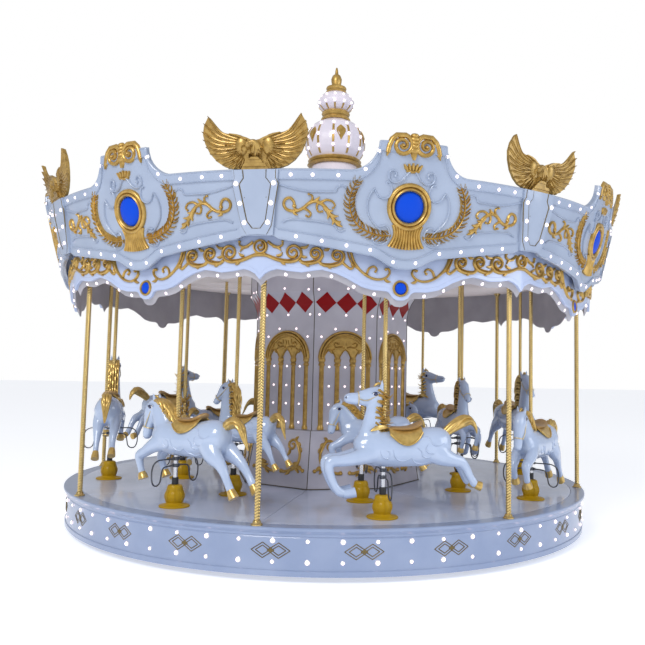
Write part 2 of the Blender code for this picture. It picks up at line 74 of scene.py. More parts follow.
# Deck
DECK_TOP = 0.40
DECK_RADIUS = 2.65
FLOOR_RADIUS = 2.52
DECK_THICKNESS = 0.06
SKIRT_RADIUS = 2.62
SKIRT_BOTTOM = 0.05
SKIRT_WALL = 0.04
PIVOT_RADIUS = 0.105

# Lift rods, bells and horses
RING_RADIUS = {"outer": 2.25, "inner": 1.53}
RING_SCALE = {"outer": 1.0, "inner": 0.80}
BELLY_HEIGHT = 0.440
ROD_FOOT = 0.11
ROD_HEAD = 0.15
ROD_RADIUS = 0.019
BORE_RADIUS = 0.0235
BUSH_TOP = 0.235

# Canopy
CEILING_UNDERSIDE = 2.573
CEILING_THICKNESS = 0.03
POLE_RING_RADIUS = 2.60
POLE_RADIUS = 0.0235
VALANCE_MID_RADIUS = 2.65
VALANCE_CORNER_RADIUS = 2.73
VALANCE_WALL = 0.03
VALANCE_SCALE = 2.69
LINING_FRONT = -0.026
LINING_BACK = -0.050
LINING_DROP = 0.045
BOARD_MID_RADIUS = 2.777
BOARD_CORNER_RADIUS = 2.804
BOARD_LEAN = 0.29
BOARD_REFERENCE_HEIGHT = 2.52
CREST_BEND = 3.08
BOARD_WALL = 0.036
BOARD_SCALE = 2.85
PILASTER_DEPTH = 0.026

# Lower edge of the valance as (u, z), from the middle of a face to its corner
VALANCE_EDGE = (
    (0.0, 2.072), (0.03, 2.075), (0.062, 2.092), (0.085, 2.125), (0.11, 2.137), (0.22, 2.142), (0.30, 2.160),
    (0.36, 2.190), (0.42, 2.222), (0.50, 2.255), (0.60, 2.278), (0.66, 2.270), (0.75, 2.254), (0.84, 2.262),
    (0.93, 2.276), (0.98, 2.262), (1.02, 2.240), (1.056, 2.197))


def principled(name, colour, roughness, metallic=0.0, coat=0.0, emission=0.0):
    """Return a new Principled material with its shader and node tree."""
    material = bpy.data.materials.new(name)
    material.use_nodes = True
    tree = material.node_tree
    shader = tree.nodes["Principled BSDF"]
    shader.inputs["Base Color"].default_value = (*colour, 1.0)
    shader.inputs["Roughness"].default_value = roughness
    shader.inputs["Metallic"].default_value = metallic
    shader.inputs["Coat Weight"].default_value = coat
    shader.inputs["Coat Roughness"].default_value = 0.06
    if emission:
        shader.inputs["Emission Color"].default_value = (*colour, 1.0)
        shader.inputs["Emission Strength"].default_value = emission
    return material, tree, shader


def mottle(tree, shader, colours, scale, positions=(0.35, 0.65)):
    """Blend between two base colours with soft noise in object space."""
    place = tree.nodes.new("ShaderNodeTexCoord")
    noise = tree.nodes.new("ShaderNodeTexNoise")
    noise.inputs["Scale"].default_value = scale
    noise.inputs["Detail"].default_value = 4.0
    ramp = tree.nodes.new("ShaderNodeValToRGB")
    for element, position, colour in zip(ramp.color_ramp.elements, positions, colours):
        element.position = position
        element.color = (*colour, 1.0)
    tree.links.new(place.outputs["Object"], noise.inputs["Vector"])
    tree.links.new(noise.outputs["Fac"], ramp.inputs["Fac"])
    tree.links.new(ramp.outputs["Color"], shader.inputs["Base Color"])
    return noise, ramp


def glaze_and_painted_shade_in_hollows(tree, shader, ramp, dark, low=0.42, high=0.50):
    """Darken the hollows of a moulded piece: its dark antique glaze together with painted shade."""
    geometry = tree.nodes.new("ShaderNodeNewGeometry")
    depth = tree.nodes.new("ShaderNodeMapRange")
    depth.inputs["From Min"].default_value = low
    depth.inputs["From Max"].default_value = high
    mix = tree.nodes.new("ShaderNodeMix")
    mix.data_type = "RGBA"
    mix.inputs["A"].default_value = (*dark, 1.0)
    tree.links.new(geometry.outputs["Pointiness"], depth.inputs["Value"])
    tree.links.new(depth.outputs["Result"], mix.inputs["Factor"])
    tree.links.new(ramp.outputs["Color"], mix.inputs["B"])
    tree.links.new(mix.outputs["Result"], shader.inputs["Base Color"])


def relief(tree, shader, noise, distance):
    """Slight unevenness of a hand-painted or moulded surface."""
    bump = tree.nodes.new("ShaderNodeBump")
    bump.inputs["Strength"].default_value = 0.35
    bump.inputs["Distance"].default_value = distance
    tree.links.new(noise.outputs["Fac"], bump.inputs["Height"])
    tree.links.new(bump.outputs["Normal"], shader.inputs["Normal"])


def make_materials():
    """All finishes of the ride, by name."""
    found = {}

    def white(name, light, dark, roughness, coat, scale, distance):
        material, tree, shader = principled(name, light, roughness, coat=coat)
        noise, _ = mottle(tree, shader, (dark, light), scale)
        relief(tree, shader, noise, distance)
        found[name] = material

    white("shell_white", (0.335, 0.400, 0.530), (0.295, 0.355, 0.480), 0.30, 0.4, 3.0, 0.004)
    white("valance_white", (0.46, 0.54, 0.76), (0.41, 0.49, 0.70), 0.30, 0.4, 3.0, 0.004)
    white("skirt_white", (0.26, 0.325, 0.49), (0.22, 0.285, 0.45), 0.32, 0.5, 3.0, 0.004)
    white("horse_white", (0.43, 0.52, 0.70), (0.39, 0.48, 0.66), 0.18, 0.7, 6.0, 0.001)
    white("column_white", (0.50, 0.49, 0.56), (0.43, 0.42, 0.49), 0.38, 0.3, 4.0, 0.003)
    white("deck_white", (0.54, 0.60, 0.78), (0.46, 0.53, 0.70), 0.25, 0.5, 2.0, 0.002)
    # The lining under the valance is white; its grey is painted shade
    white("lining_white_in_painted_shade", (0.40, 0.39, 0.43), (0.34, 0.33, 0.37), 0.50, 0.1, 4.0, 0.002)
    white("ceiling_grey_painted_glow", (0.72, 0.66, 0.67), (0.64, 0.58, 0.59), 0.50, 0.1, 2.0, 0.002)
    white("crown_white", (0.78, 0.72, 0.80), (0.72, 0.68, 0.78), 0.25, 0.5, 5.0, 0.001)
    white("roof_white", (0.62, 0.64, 0.70), (0.55, 0.57, 0.63), 0.40, 0.2, 2.0, 0.003)

    white("base_steel", (0.16, 0.17, 0.19), (0.11, 0.12, 0.14), 0.50, 0.1, 6.0, 0.002)

    def gold(name, light, dark, hollow, roughness, metallic):
        material, tree, shader = principled(name, light, roughness, metallic, coat=0.2)
        noise, ramp = mottle(tree, shader, (dark, light), 22.0)
        # The hollows get the dark antique glaze together with painted shade
        glaze_and_painted_shade_in_hollows(tree, shader, ramp, hollow)
        relief(tree, shader, noise, 0.002)
        found[name] = material

    # The third colour of each gold is for its hollows: antique glaze together with painted shade
    gold("gold_paint", (0.56, 0.360, 0.095), (0.40, 0.245, 0.058), (0.070, 0.038, 0.010), 0.36, 0.55)
    gold("eagle_gold", (0.46, 0.30, 0.085), (0.31, 0.19, 0.048), (0.030, 0.016, 0.005), 0.38, 0.55)
    gold("horse_gold", (0.68, 0.47, 0.150), (0.52, 0.34, 0.095), (0.10, 0.055, 0.015), 0.28, 0.60)
    gold("twisted_brass", (0.66, 0.49, 0.20), (0.58, 0.42, 0.16), (0.10, 0.06, 0.015), 0.22, 0.90)

    plain = {
        "mustard": ((0.42, 0.250, 0.006), 0.40, 0.0, 0.1, 0.0),
        "rubber": ((0.012, 0.012, 0.014), 0.55, 0.0, 0.0, 0.0),
        "chrome": ((0.55, 0.56, 0.60), 0.20, 1.0, 0.0, 0.0),
        "loop_steel": ((0.10, 0.105, 0.12), 0.30, 0.9, 0.0, 0.0),
        "blue_gem": ((0.001, 0.060, 0.58), 0.45, 0.0, 0.0, 0.0),
        "dark_red": ((0.26, 0.003, 0.005), 0.40, 0.0, 0.0, 0.0),
        "dark_line": ((0.10, 0.09, 0.07), 0.55, 0.0, 0.0, 0.0),
        "outline_gold": ((0.16, 0.12, 0.05), 0.45, 0.5, 0.0, 0.0),
        "brown_seat": ((0.40, 0.25, 0.10), 0.38, 0.3, 0.2, 0.0),
        "bridle_gold": ((0.62, 0.50, 0.28), 0.30, 0.5, 0.2, 0.0),
        "eye_blue": ((0.010, 0.020, 0.080), 0.08, 0.0, 1.0, 0.0),
        "eye_white": ((0.75, 0.75, 0.78), 0.15, 0.0, 0.8, 0.0),
        "bulb": ((1.0, 0.80, 0.84), 0.25, 0.0, 0.0, 1.7),
        "bulb_ring": ((0.62, 0.62, 0.66), 0.30, 0.3, 0.0, 0.0),
        "dark_steel": ((0.05, 0.05, 0.055), 0.45, 0.7, 0.0, 0.0),
    }
    for name, (colour, roughness, metallic, coat, emission) in plain.items():
        material, _, shader = principled(name, colour, roughness, metallic, coat, emission)
        if name in ("blue_gem", "dark_red", "mustard"):
            shader.inputs["Specular IOR Level"].default_value = 0.15
        found[name] = material
    # Painted light: the ceiling glows a little, standing in for the light of the bulbs on its shaded underside
    shader = found["ceiling_grey_painted_glow"].node_tree.nodes["Principled BSDF"]
    shader.inputs["Emission Color"].default_value = (0.80, 0.70, 0.66, 1.0)
    shader.inputs["Emission Strength"].default_value = 0.13
    return found


def polar(radius, angle, height):
    """Point at an angle from -Y towards +X."""
    return Vector((radius * math.sin(angle), -radius * math.cos(angle), height))


def smooth_path(points, steps=4, loop=False):
    """Points along a Catmull-Rom curve through the given points, of any dimension."""
    count = len(points)
    path = []
    last = count if loop else count - 1
    for i in range(last):
        if loop:
            p0, p1, p2, p3 = (points[(i + k) % count] for k in (-1, 0, 1, 2))
        else:
            p0, p1, p2, p3 = (points[max(0, min(count - 1, i + k))] for k in (-1, 0, 1, 2))
        for step in range(steps):
            t = step / steps
            path.append(tuple(
                0.5 * (2 * b + (c - a) * t + (2 * a - 5 * b + 4 * c - d) * t ** 2 + (3 * b - a - 3 * c + d) * t ** 3)
                for a, b, c, d in zip(p0, p1, p2, p3)))
    if not loop:
        path.append(tuple(points[-1]))
    return path


class Shape:
    """Points and faces of one piece, gathered before its mesh is made."""

    def __init__(self):
        self.points = []
        self.faces = []

    def skin(self, rings, closed=True, caps=True, loop=False):
        """Join equal rings of points one after another; a loop also joins the last to the first."""
        start = len(self.points)
        count = len(rings[0])
        total = len(rings)
        for ring in rings:
            self.points.extend(ring)
        for r in range(total if loop else total - 1):
            low = start + r * count
            high = start + (r + 1) % total * count
            for i in range(count if closed else count - 1):
                j = (i + 1) % count
                self.faces.append((low + i, low + j, high + j, high + i))
        if caps and closed and not loop:
            self.faces.append(tuple(range(start + count - 1, start - 1, -1)))
            last = start + (total - 1) * count
            self.faces.append(tuple(range(last, last + count)))

    def turned(self, profile, segments=32, centre=Vector(), phase=0.0, loop=False):
        """Turn a profile of (radius, height) pairs around an upright axis."""
        rings = [[polar(radius, phase + math.tau * i / segments, height) + centre for i in range(segments)]
                 for radius, height in profile]
        self.skin(rings, caps=not loop, loop=loop)

    def ball(self, centre, radii, segments=10, rows=6, turn=None):
        """Ellipsoid with its poles along Z."""
        rings = []
        for row in range(rows + 1):
            tilt = math.pi * (row + 0.02 * (row == 0) - 0.02 * (row == rows)) / rows
            ring = []
            for i in range(segments):
                around = math.tau * i / segments
                point = Vector((radii[0] * math.sin(tilt) * math.cos(around),
                                radii[1] * math.sin(tilt) * math.sin(around), -radii[2] * math.cos(tilt)))
                ring.append((turn @ point if turn else point) + Vector(centre))
            rings.append(ring)
        self.skin(rings)

    def tube(self, points, radius, sides=8, loop=False):
        """Round tube along points in space. The radius may follow the path, and may be a pair of half widths."""
        points = [Vector(point) for point in points]
        count = len(points)
        up = Vector((0.0, 0.0, 1.0))
        rings = []
        side = None
        for i, point in enumerate(points):
            if loop:
                along = (points[(i + 1) % count] - points[i - 1]).normalized()
            else:
                along = (points[min(i + 1, count - 1)] - points[max(i - 1, 0)]).normalized()
            if side is None:
                side = along.cross(up)
                if side.length < 0.05:
                    side = along.cross(Vector((0.0, 1.0, 0.0)))
            side = (side - along * side.dot(along)).normalized()
            other = along.cross(side)
            size = radius(i / max(1, count - 1)) if callable(radius) else radius
            wide, high = size if isinstance(size, tuple) else (size, size)
            rings.append([point + side * wide * math.cos(math.tau * k / sides)
                          + other * high * math.sin(math.tau * k / sides) for k in range(sides)])
        self.skin(rings, loop=loop)

    def stroke(self, path, width, height, place, sides=4, sunk=0.003, loop=False):
        """Raised band with a rounded top along a path on a surface. Width and height may follow the path."""
        count = len(path)
        rings = []
        for i, (u, v) in enumerate(path):
            if loop:
                before, after = path[i - 1], path[(i + 1) % count]
            else:
                before, after = path[max(i - 1, 0)], path[min(i + 1, count - 1)]
            du, dv = after[0] - before[0], after[1] - before[1]
            length = math.hypot(du, dv) or 1.0
            t = i / max(1, count - 1)
            half = width(t) if callable(width) else width
            rise = (height(t) if callable(height) else height) + sunk
            ring = []
            for j in range(sides + 1):
                turn = math.pi * j / sides
                offset = half * math.cos(turn)
                ring.append(place(u - dv / length * offset, v + du / length * offset, rise * math.sin(turn) - sunk))
            rings.append(ring)
        self.skin(rings, loop=loop)

    def dome(self, u, v, radius, height, place, segments=12, rows=3, squash=1.0):
        """Rounded boss on a surface."""
        rings = []
        for row in range(rows + 1):
            tilt = math.pi / 2 * row / rows
            reach = radius * max(0.02, math.cos(tilt))
            ring = []
            for i in range(segments):
                around = math.tau * i / segments
                ring.append(place(u + reach * math.cos(around), v + reach * squash * math.sin(around),
                                  height * math.sin(tilt)))
            rings.append(ring)
        self.skin(rings)

    def slab(self, outline, place, low, high):
        """Flat plate with an outline on a surface, between two heights above it."""
        self.skin([[place(u, v, low) for u, v in outline], [place(u, v, high) for u, v in outline]])

    def mesh(self, name, material, sharp=35):
        """Mesh with outward faces, smooth except at sharp edges."""
        mesh = bpy.data.meshes.new(name)
        mesh.from_pydata([tuple(point) for point in self.points], [], self.faces)
        bm = bmesh.new()
        bm.from_mesh(mesh)
        bmesh.ops.recalc_face_normals(bm, faces=bm.faces)
        bm.to_mesh(mesh)
        bm.free()
        mesh.shade_smooth()
        mesh.set_sharp_from_angle(angle=math.radians(sharp))
        mesh.materials.append(material)
        return mesh


def add(name, mesh, body, matrix=None, nodes=()):
    """Put a mesh in the scene on a body of the frame."""
    if body == "turntable" and matrix:
        mesh = mesh.copy()
        mesh.transform(matrix)
        matrix = None
    piece = bpy.data.objects.new(name, mesh)
    bpy.context.scene.collection.objects.link(piece)
    if matrix:
        piece.matrix_world = matrix
    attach(piece, body)
    if nodes:
        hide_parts(*nodes)
    return piece


def swell(size, least=0.15, power=0.6):
    """Size along a path, thickest in the middle."""
    return lambda t: size * max(least, math.sin(math.pi * t) ** power)


def taper(first, last):
    """Size along a path that changes evenly from first to last."""
    return lambda t: first + (last - first) * t


def curl(centre, radius, start, turns, least=0.25, steps=14):
    """Spiral from its outer end inward. Start and turns are in full turns; negative turns go clockwise."""
    path = []
    for i in range(steps + 1):
        t = i / steps
        reach = radius * (1 - (1 - least) * t)
        around = math.tau * (start + turns * t)
        path.append((centre[0] + reach * math.cos(around), centre[1] + reach * math.sin(around)))
    return path


def fraction_of(angle):
    """0 at the middle of face 0 and 1 at its corner."""
    return min(1.0, abs(angle) / HALF)


def along_edge(points, u):
    """Height of a face's edge at a distance from its middle."""
    u = abs(u)
    for (start, low), (end, high) in zip(points, points[1:]):
        if u <= end:
            return low + (high - low) * (u - start) / (end - start)
    return points[-1][1]


def board_radius(angle, height):
    fraction = fraction_of(angle)
    height = min(height, CREST_BEND) + 0.35 * max(0.0, height - CREST_BEND)
    foot = BOARD_MID_RADIUS + (BOARD_CORNER_RADIUS - BOARD_MID_RADIUS) * fraction
    return foot + BOARD_LEAN * (height - BOARD_REFERENCE_HEIGHT) * (1 - 0.25 * fraction)


def on_board(u, z, rise):
    """Point on the leaning board of face 0, raised from its surface."""
    angle = u / BOARD_SCALE
    return polar(board_radius(angle, z) + 0.96 * rise, angle, z - 0.27 * rise)


def valance_radius(angle):
    return VALANCE_MID_RADIUS + (VALANCE_CORNER_RADIUS - VALANCE_MID_RADIUS) * fraction_of(angle)


def on_valance(u, z, rise):
    angle = u / VALANCE_SCALE
    return polar(valance_radius(angle) + rise, angle, z)


def on_lining(u, z, rise):
    """Point on the sloping lip under the valance, from its lower edge back and down."""
    depth = (along_edge(VALANCE_EDGE, u) - z) / LINING_DROP
    return on_valance(u, z - 0.5 * rise, LINING_FRONT + (LINING_BACK - LINING_FRONT) * depth + 0.87 * rise)


def on_skirt(u, z, rise):
    return polar(SKIRT_RADIUS + rise, u / SKIRT_RADIUS, z)


def board_foot(u):
    """Lower edge of a board: a lobe under the medallion, then a straight rise to the corner."""
    u = abs(u)
    if u < 0.30:
        return 2.297 + 0.091 * (0.5 - 0.5 * math.cos(math.pi * u / 0.30)) ** 1.3
    return 2.388 + (2.51 - 2.388) * (u - 0.30) / 0.82


def board_head(u):
    """Upper edge of a board: level, then a hollow quarter round up to the crest."""
    u = abs(u)
    if u < 0.24:
        return 3.19
    if u < 0.45:
        return 2.975 + 0.215 * (1 - math.sqrt(max(0.0, 1 - ((0.45 - u) / 0.21) ** 2)))
    return 2.975


def pilaster_half(z):
    """Half width of a pilaster, which narrows towards its foot."""
    return 0.12 + 0.05 * (z - 2.51) / 0.465


def boards(materials):
    """Leaning cornice boards with raised borders, each with the pilaster of its right-hand corner."""
    shell = Shape()
    stations = [i / 100 for i in range(-96, 97, 4)] + [0.02, -0.02, 0.10, -0.10, 0.14, -0.14, 0.18, -0.18, 0.22, -0.22]
    stations += [0.2399, -0.2399, 0.243, -0.243, 0.26, -0.26, 0.30, -0.30, 0.34, -0.34, 0.38, -0.38, 0.42, -0.42]
    stations = sorted(set(round(u, 4) for u in stations))
    stations = [-1.119] + stations + [1.119]
    rows = (0.0, 0.004, 0.066, 0.074)
    rings = []
    for u in stations:
        low, high = board_foot(u), board_head(u)
        # Past the last station the board ends at the slanting edge of its neighbour's pilaster
        def across(z):
            if u < -1:
                return -1.119 + pilaster_half(z) * 0.9
            if u > 1:
                return 1.119 - pilaster_half(z) * 0.9
            return u
        ring = []
        for inset in rows:
            ring.append((low + inset, 0.010 if inset in rows[1:3] else 0.003))
        middle = [low + 0.074 + (high - low - 0.148) * k / 7 for k in range(1, 7)]
        ring += [(z, 0.003 - 0.004) for z in middle]
        for inset in reversed(rows):
            ring.append((high - inset, 0.010 if inset in rows[1:3] else 0.003))
        outside = [on_board(across(z), z, rise) for z, rise in ring]
        inside = [on_board(across(z), z, -BOARD_WALL) for z, _ in reversed(ring)]
        rings.append(outside + inside)
    shell.skin(rings)
    # A bead along both sides of the raised borders
    for edge, sign in ((board_foot, 1), (board_head, -1)):
        for inset, width, rise in ((0.006, 0.009, 0.015), (0.070, 0.006, 0.016)):
            path = [(u, edge(u) + sign * inset) for u in stations[1:-1]]
            shell.stroke(path, width, rise, on_board)
    # Pilaster: a slanting block with a sunk panel
    heights = [2.512 + 0.463 * k / 6 for k in range(7)]
    rings = []
    for z in heights:
        half = pilaster_half(z)
        ring = [on_board(1.119 + side * half, z, rise) for side, rise in
                ((-1, -BOARD_WALL), (-1, PILASTER_DEPTH), (-0.5, PILASTER_DEPTH + 0.004), (0.5, PILASTER_DEPTH + 0.004),
                 (1, PILASTER_DEPTH), (1, -BOARD_WALL))]
        rings.append(ring)
    shell.skin(rings)
    mesh = shell.mesh("rounding_board", materials["shell_white"], 30)
    for k in range(SIDES):
        turn = Matrix.Rotation(k * SECTOR, 4, "Z")
        add(f"board_shell_{k + 1}", mesh, "turntable", turn, (f"rounding_board_{k + 1}",))


def valance(materials):
    """White scalloped band behind the boards; its white lining inside is painted grey for the shade under it."""
    band = Shape()
    stations = [-u for u, _ in reversed(VALANCE_EDGE[1:-1])] + [u for u, _ in VALANCE_EDGE]
    rings = []
    for k in range(SIDES):
        turn = Matrix.Rotation(k * SECTOR, 3, "Z")
        for u in stations:
            foot = along_edge(VALANCE_EDGE, u)
            top = CEILING_UNDERSIDE + CEILING_THICKNESS
            ring = [(foot, -VALANCE_WALL + 0.004), (foot, -0.004), (foot + 0.004, 0.0), (foot + 0.030, 0.0),
                    (foot + 0.034, -0.003), (top, -0.003), (top, -VALANCE_WALL)]
            rings.append([turn @ on_valance(u, z, rise) for z, rise in ring])
    band.skin(rings, loop=True)
    add("valance_band", band.mesh("valance_band", materials["valance_white"], 30), "turntable",
        nodes=("valance",))
    lining = Shape()
    rings = []
    for k in range(SIDES):
        turn = Matrix.Rotation(k * SECTOR, 3, "Z")
        for u in stations:
            foot = along_edge(VALANCE_EDGE, u)
            back = foot - LINING_DROP
            ring = [(foot + 0.004, LINING_FRONT), (back, LINING_BACK), (back + 0.002, LINING_BACK - 0.006),
                    (foot + 0.02, LINING_BACK - 0.006), (CEILING_UNDERSIDE - 0.001, -VALANCE_WALL - 0.006),
                    (CEILING_UNDERSIDE - 0.001, -VALANCE_WALL - 0.001), (foot + 0.02, -VALANCE_WALL - 0.001)]
            rings.append([turn @ on_valance(u, z, rise) for z, rise in ring])
    lining.skin(rings, loop=True)
    # The lining is white; its grey is painted shade under the valance
    add("valance_lining", lining.mesh("valance_lining", materials["lining_white_in_painted_shade"], 30), "turntable")


def twisted(shape, centre, low, high, radius, pitch=0.088, lobes=4, step=0.0068):
    """Upright rope-twist tube. Its edges follow the twist."""
    count = int((high - low) / step)
    rings = []
    for i in range(count + 1):
        z = low + (high - low) * i / count
        ring = []
        for k in range(2 * lobes):
            reach = radius if k % 2 == 0 else 0.86 * radius
            ring.append(polar(reach, math.tau * (k / (2 * lobes) + z / pitch), z) + centre)
        rings.append(ring)
    shape.skin(rings)


def rod_places():
    for ring in ("outer", "inner"):
        for sector in range(SIDES):
            yield ring, sector, sector * SECTOR, RING_RADIUS[ring]


def canopy(materials):
    """Grey ceiling plate with its rod holes, and brass poles on flanges."""
    plate = Shape()
    outline = []
    for i in range(SIDES * 8):
        angle = math.tau * i / (SIDES * 8)
        offset = (angle + HALF) % SECTOR - HALF
        outline.append((angle, valance_radius(offset) - VALANCE_WALL - 0.003))
    plate.skin([[polar(radius, angle, z) for angle, radius in outline]
                for z in (CEILING_UNDERSIDE, CEILING_UNDERSIDE + CEILING_THICKNESS)])
    mesh = plate.mesh("ceiling_plate", materials["ceiling_grey_painted_glow"])
    holes = Shape()
    for _, _, angle, radius in rod_places():
        holes.turned(((ROD_RADIUS + 0.007, 2.5), (ROD_RADIUS + 0.007, 2.7)), 16, polar(radius, angle, 0.0))
    base = bpy.data.objects.new("ceiling_base", mesh)
    cutter = bpy.data.objects.new("ceiling_holes", holes.mesh("ceiling_holes", materials["ceiling_grey_painted_glow"]))
    for item in (base, cutter):
        bpy.context.scene.collection.objects.link(item)
    cut = base.modifiers.new("holes", "BOOLEAN")
    cut.operation = "DIFFERENCE"
    cut.object = cutter
    bpy.context.view_layer.update()
    depsgraph = bpy.context.evaluated_depsgraph_get()
    mesh = bpy.data.meshes.new_from_object(base.evaluated_get(depsgraph))
    for item in (base, cutter):
        bpy.data.objects.remove(item)
    add("ceiling_plate", mesh, "turntable", nodes=("canopy_frame",))

    poles = Shape()
    for k in range(SIDES):
        centre = polar(POLE_RING_RADIUS, (k + 0.5) * SECTOR, 0.0)
        twisted(poles, centre, DECK_TOP + 0.010, CEILING_UNDERSIDE - 0.002, POLE_RADIUS)
        foot = DECK_TOP + 0.001
        poles.turned(((0.045, foot), (0.045, foot + 0.006), (0.034, foot + 0.012), (0.029, foot + 0.030),
                      (0.024, foot + 0.034)), 20, centre)
        top = CEILING_UNDERSIDE - 0.001
        poles.turned(((0.024, top - 0.034), (0.030, top - 0.026), (0.044, top - 0.006), (0.044, top)), 20, centre)
    add("outer_poles", poles.mesh("outer_poles", materials["twisted_brass"], 50), "turntable")


def deck(materials):
    """Floor panels with open seams, the edge ring with its skirt, and the bell stands with rubber bushes."""
    seam = 0.002
    panel = Shape()
    outline = []
    for radius, direction in ((FLOOR_RADIUS - 0.001, 1), (PIVOT_RADIUS, -1)):
        half = HALF - math.asin(seam / radius)
        outline += [(radius, direction * half * (2 * i / 12 - 1)) for i in range(13)]
    layers = ((DECK_TOP - DECK_THICKNESS, 0.0), (DECK_TOP - 0.002, 0.0), (DECK_TOP, 0.001))
    panel.skin([[polar(radius - inset, angle, z) for radius, angle in outline] for z, inset in layers])
    panel_mesh = panel.mesh("floor_panel", materials["deck_white"], 30)
    bell = Shape()
    profile = ((0.125, 0.0), (0.126, 0.006), (0.122, 0.012), (0.096, 0.017), (0.074, 0.024), (0.066, 0.034),
               (0.072, 0.052), (0.079, 0.075), (0.078, 0.098), (0.070, 0.118), (0.063, 0.132), (0.065, 0.142),
               (0.062, 0.160), (0.056, 0.172), (0.040, 0.178), (BORE_RADIUS, 0.178), (BORE_RADIUS, 0.0))
    bell.turned(profile, 32, loop=True)
    # Low ribs up the bell's sides
    for k in range(8):
        around = math.tau * k / 8
        path = [polar(radius + 0.0005, around, z) for radius, z in profile[5:12]]
        bell.tube(path, 0.0035, 6)
    bell_mesh = bell.mesh("bell_stand", materials["mustard"], 40)
    bush = Shape()
    bush.turned(((0.027, 0.174), (0.027, BUSH_TOP - 0.004), (0.025, BUSH_TOP), (BORE_RADIUS - 0.002, BUSH_TOP),
                 (BORE_RADIUS - 0.002, 0.174)), 20, loop=True)
    bush_mesh = bush.mesh("bush", materials["rubber"])
    for k in range(SIDES):
        turn = Matrix.Rotation(k * SECTOR, 4, "Z")
        add(f"floor_{k + 1}", panel_mesh, "turntable", turn, (f"floor_panel_{k + 1}",))
    for ring, sector, angle, radius in rod_places():
        place = Matrix.Translation(polar(radius, angle, DECK_TOP + 0.0005))
        add(f"bell_{ring}_{sector + 1}", bell_mesh, "turntable", place)
        add(f"bush_{ring}_{sector + 1}", bush_mesh, "turntable", place)

    skirt = Shape()
    inner = SKIRT_RADIUS - SKIRT_WALL
    profile = ((FLOOR_RADIUS + 0.001, DECK_TOP), (DECK_RADIUS - 0.006, DECK_TOP), (DECK_RADIUS, DECK_TOP - 0.006),
               (DECK_RADIUS, 0.378), (DECK_RADIUS - 0.010, 0.366), (SKIRT_RADIUS + 0.006, 0.352),
               (SKIRT_RADIUS + 0.004, 0.336), (SKIRT_RADIUS - 0.003, 0.331), (SKIRT_RADIUS - 0.003, 0.327),
               (SKIRT_RADIUS, 0.322), (SKIRT_RADIUS, 0.095), (SKIRT_RADIUS + 0.008, 0.088),
               (SKIRT_RADIUS + 0.008, SKIRT_BOTTOM), (inner, SKIRT_BOTTOM), (inner, DECK_TOP - DECK_THICKNESS),
               (FLOOR_RADIUS + 0.001, DECK_TOP - DECK_THICKNESS))
    skirt.turned(profile, 192, loop=True)
    add("skirt_ring", skirt.mesh("skirt_ring", materials["skirt_white"], 30), "turntable",
        nodes=("skirt",))


def roof(materials):
    """Shallow sheet roof behind the boards, with a seam on every half sector."""
    cone = Shape()
    cone.turned(((2.55, 2.604), (2.58, 2.604), (2.58, 2.83), (2.735, 2.83), (2.735, 2.86), (0.50, 3.50), (0.10, 3.50),
                 (0.10, 3.47), (0.50, 3.47), (2.55, 2.845)), 64, loop=True)
    for k in range(SIDES * 2):
        angle = math.tau * k / (SIDES * 2)
        path = [polar(radius, angle, 3.50 - (radius - 0.50) * 0.2863 + 0.002) for radius in (2.70, 1.9, 1.2, 0.55)]
        cone.tube(path, 0.009, 6)
    add("roof_sheet", cone.mesh("roof_sheet", materials["roof_white"], 30), "turntable",
        nodes=("roof",))


CROWN_BODY = ((0.26, 3.86), (0.290, 3.90), (0.318, 3.96), (0.330, 4.04), (0.325, 4.11), (0.300, 4.18),
              (0.250, 4.25), (0.190, 4.29), (0.140, 4.315))
CROWN_BUD = ((0.125, 4.415), (0.150, 4.43), (0.185, 4.465), (0.203, 4.51), (0.195, 4.55), (0.160, 4.60), (0.11, 4.635))


def ring_profile(radius, low, high, depth):
    """Profile of a moulded ring: two rounds with a hollow between them."""
    step = (high - low) / 6
    return ((radius - depth, low), (radius - 0.2 * depth, low + 0.3 * step), (radius, low + step),
            (radius - 0.2 * depth, low + 2 * step), (radius - 0.45 * depth, low + 2.6 * step),
            (radius - 0.3 * depth, low + 3.4 * step), (radius - 0.12 * depth, low + 4.4 * step),
            (radius - 0.3 * depth, low + 5.4 * step), (radius - depth, high))


def crown(materials):
    """Turned crown on the roof: gold rings, a ribbed body and a smaller bud under the finial."""
    white = Shape()
    white.turned(((0.44, 3.502), (0.43, 3.55), (0.30, 3.64), (0.26, 3.70), (0.26, 3.77), (0.24, 3.80)), 48)
    add("crown_foot", white.mesh("crown_foot", materials["crown_white"]), "turntable",
        nodes=("crown_pedestal",))
    body = Shape()
    for profile in (CROWN_BODY, CROWN_BUD):
        smooth = smooth_path(profile, 3)
        rings = []
        for radius, z in smooth:
            ring = []
            for i in range(96):
                around = math.tau * i / 96
                ring.append(polar(radius * (1 - 0.010 * math.cos(12 * around)), around, z))
            rings.append(ring)
        body.skin(rings)
    add("crown_body", body.mesh("crown_body", materials["crown_white"], 60), "turntable",
        nodes=("crown_urn",))
    gold = Shape()
    gold.turned(ring_profile(0.305, 3.79, 3.87, 0.06), 48)
    gold.turned(ring_profile(0.165, 4.31, 4.425, 0.05), 48)
    gold.turned(ring_profile(0.118, 4.63, 4.71, 0.03), 40)
    gold.turned(((0.075, 4.70), (0.050, 4.73), (0.058, 4.77), (0.060, 4.80), (0.045, 4.84), (0.020, 4.86),
                 (0.016, 4.90), (0.010, 4.93), (0.003, 4.938)), 24)
    add("crown_rings", gold.mesh("crown_rings", materials["gold_paint"]), "turntable",
        nodes=("crown_finial",))


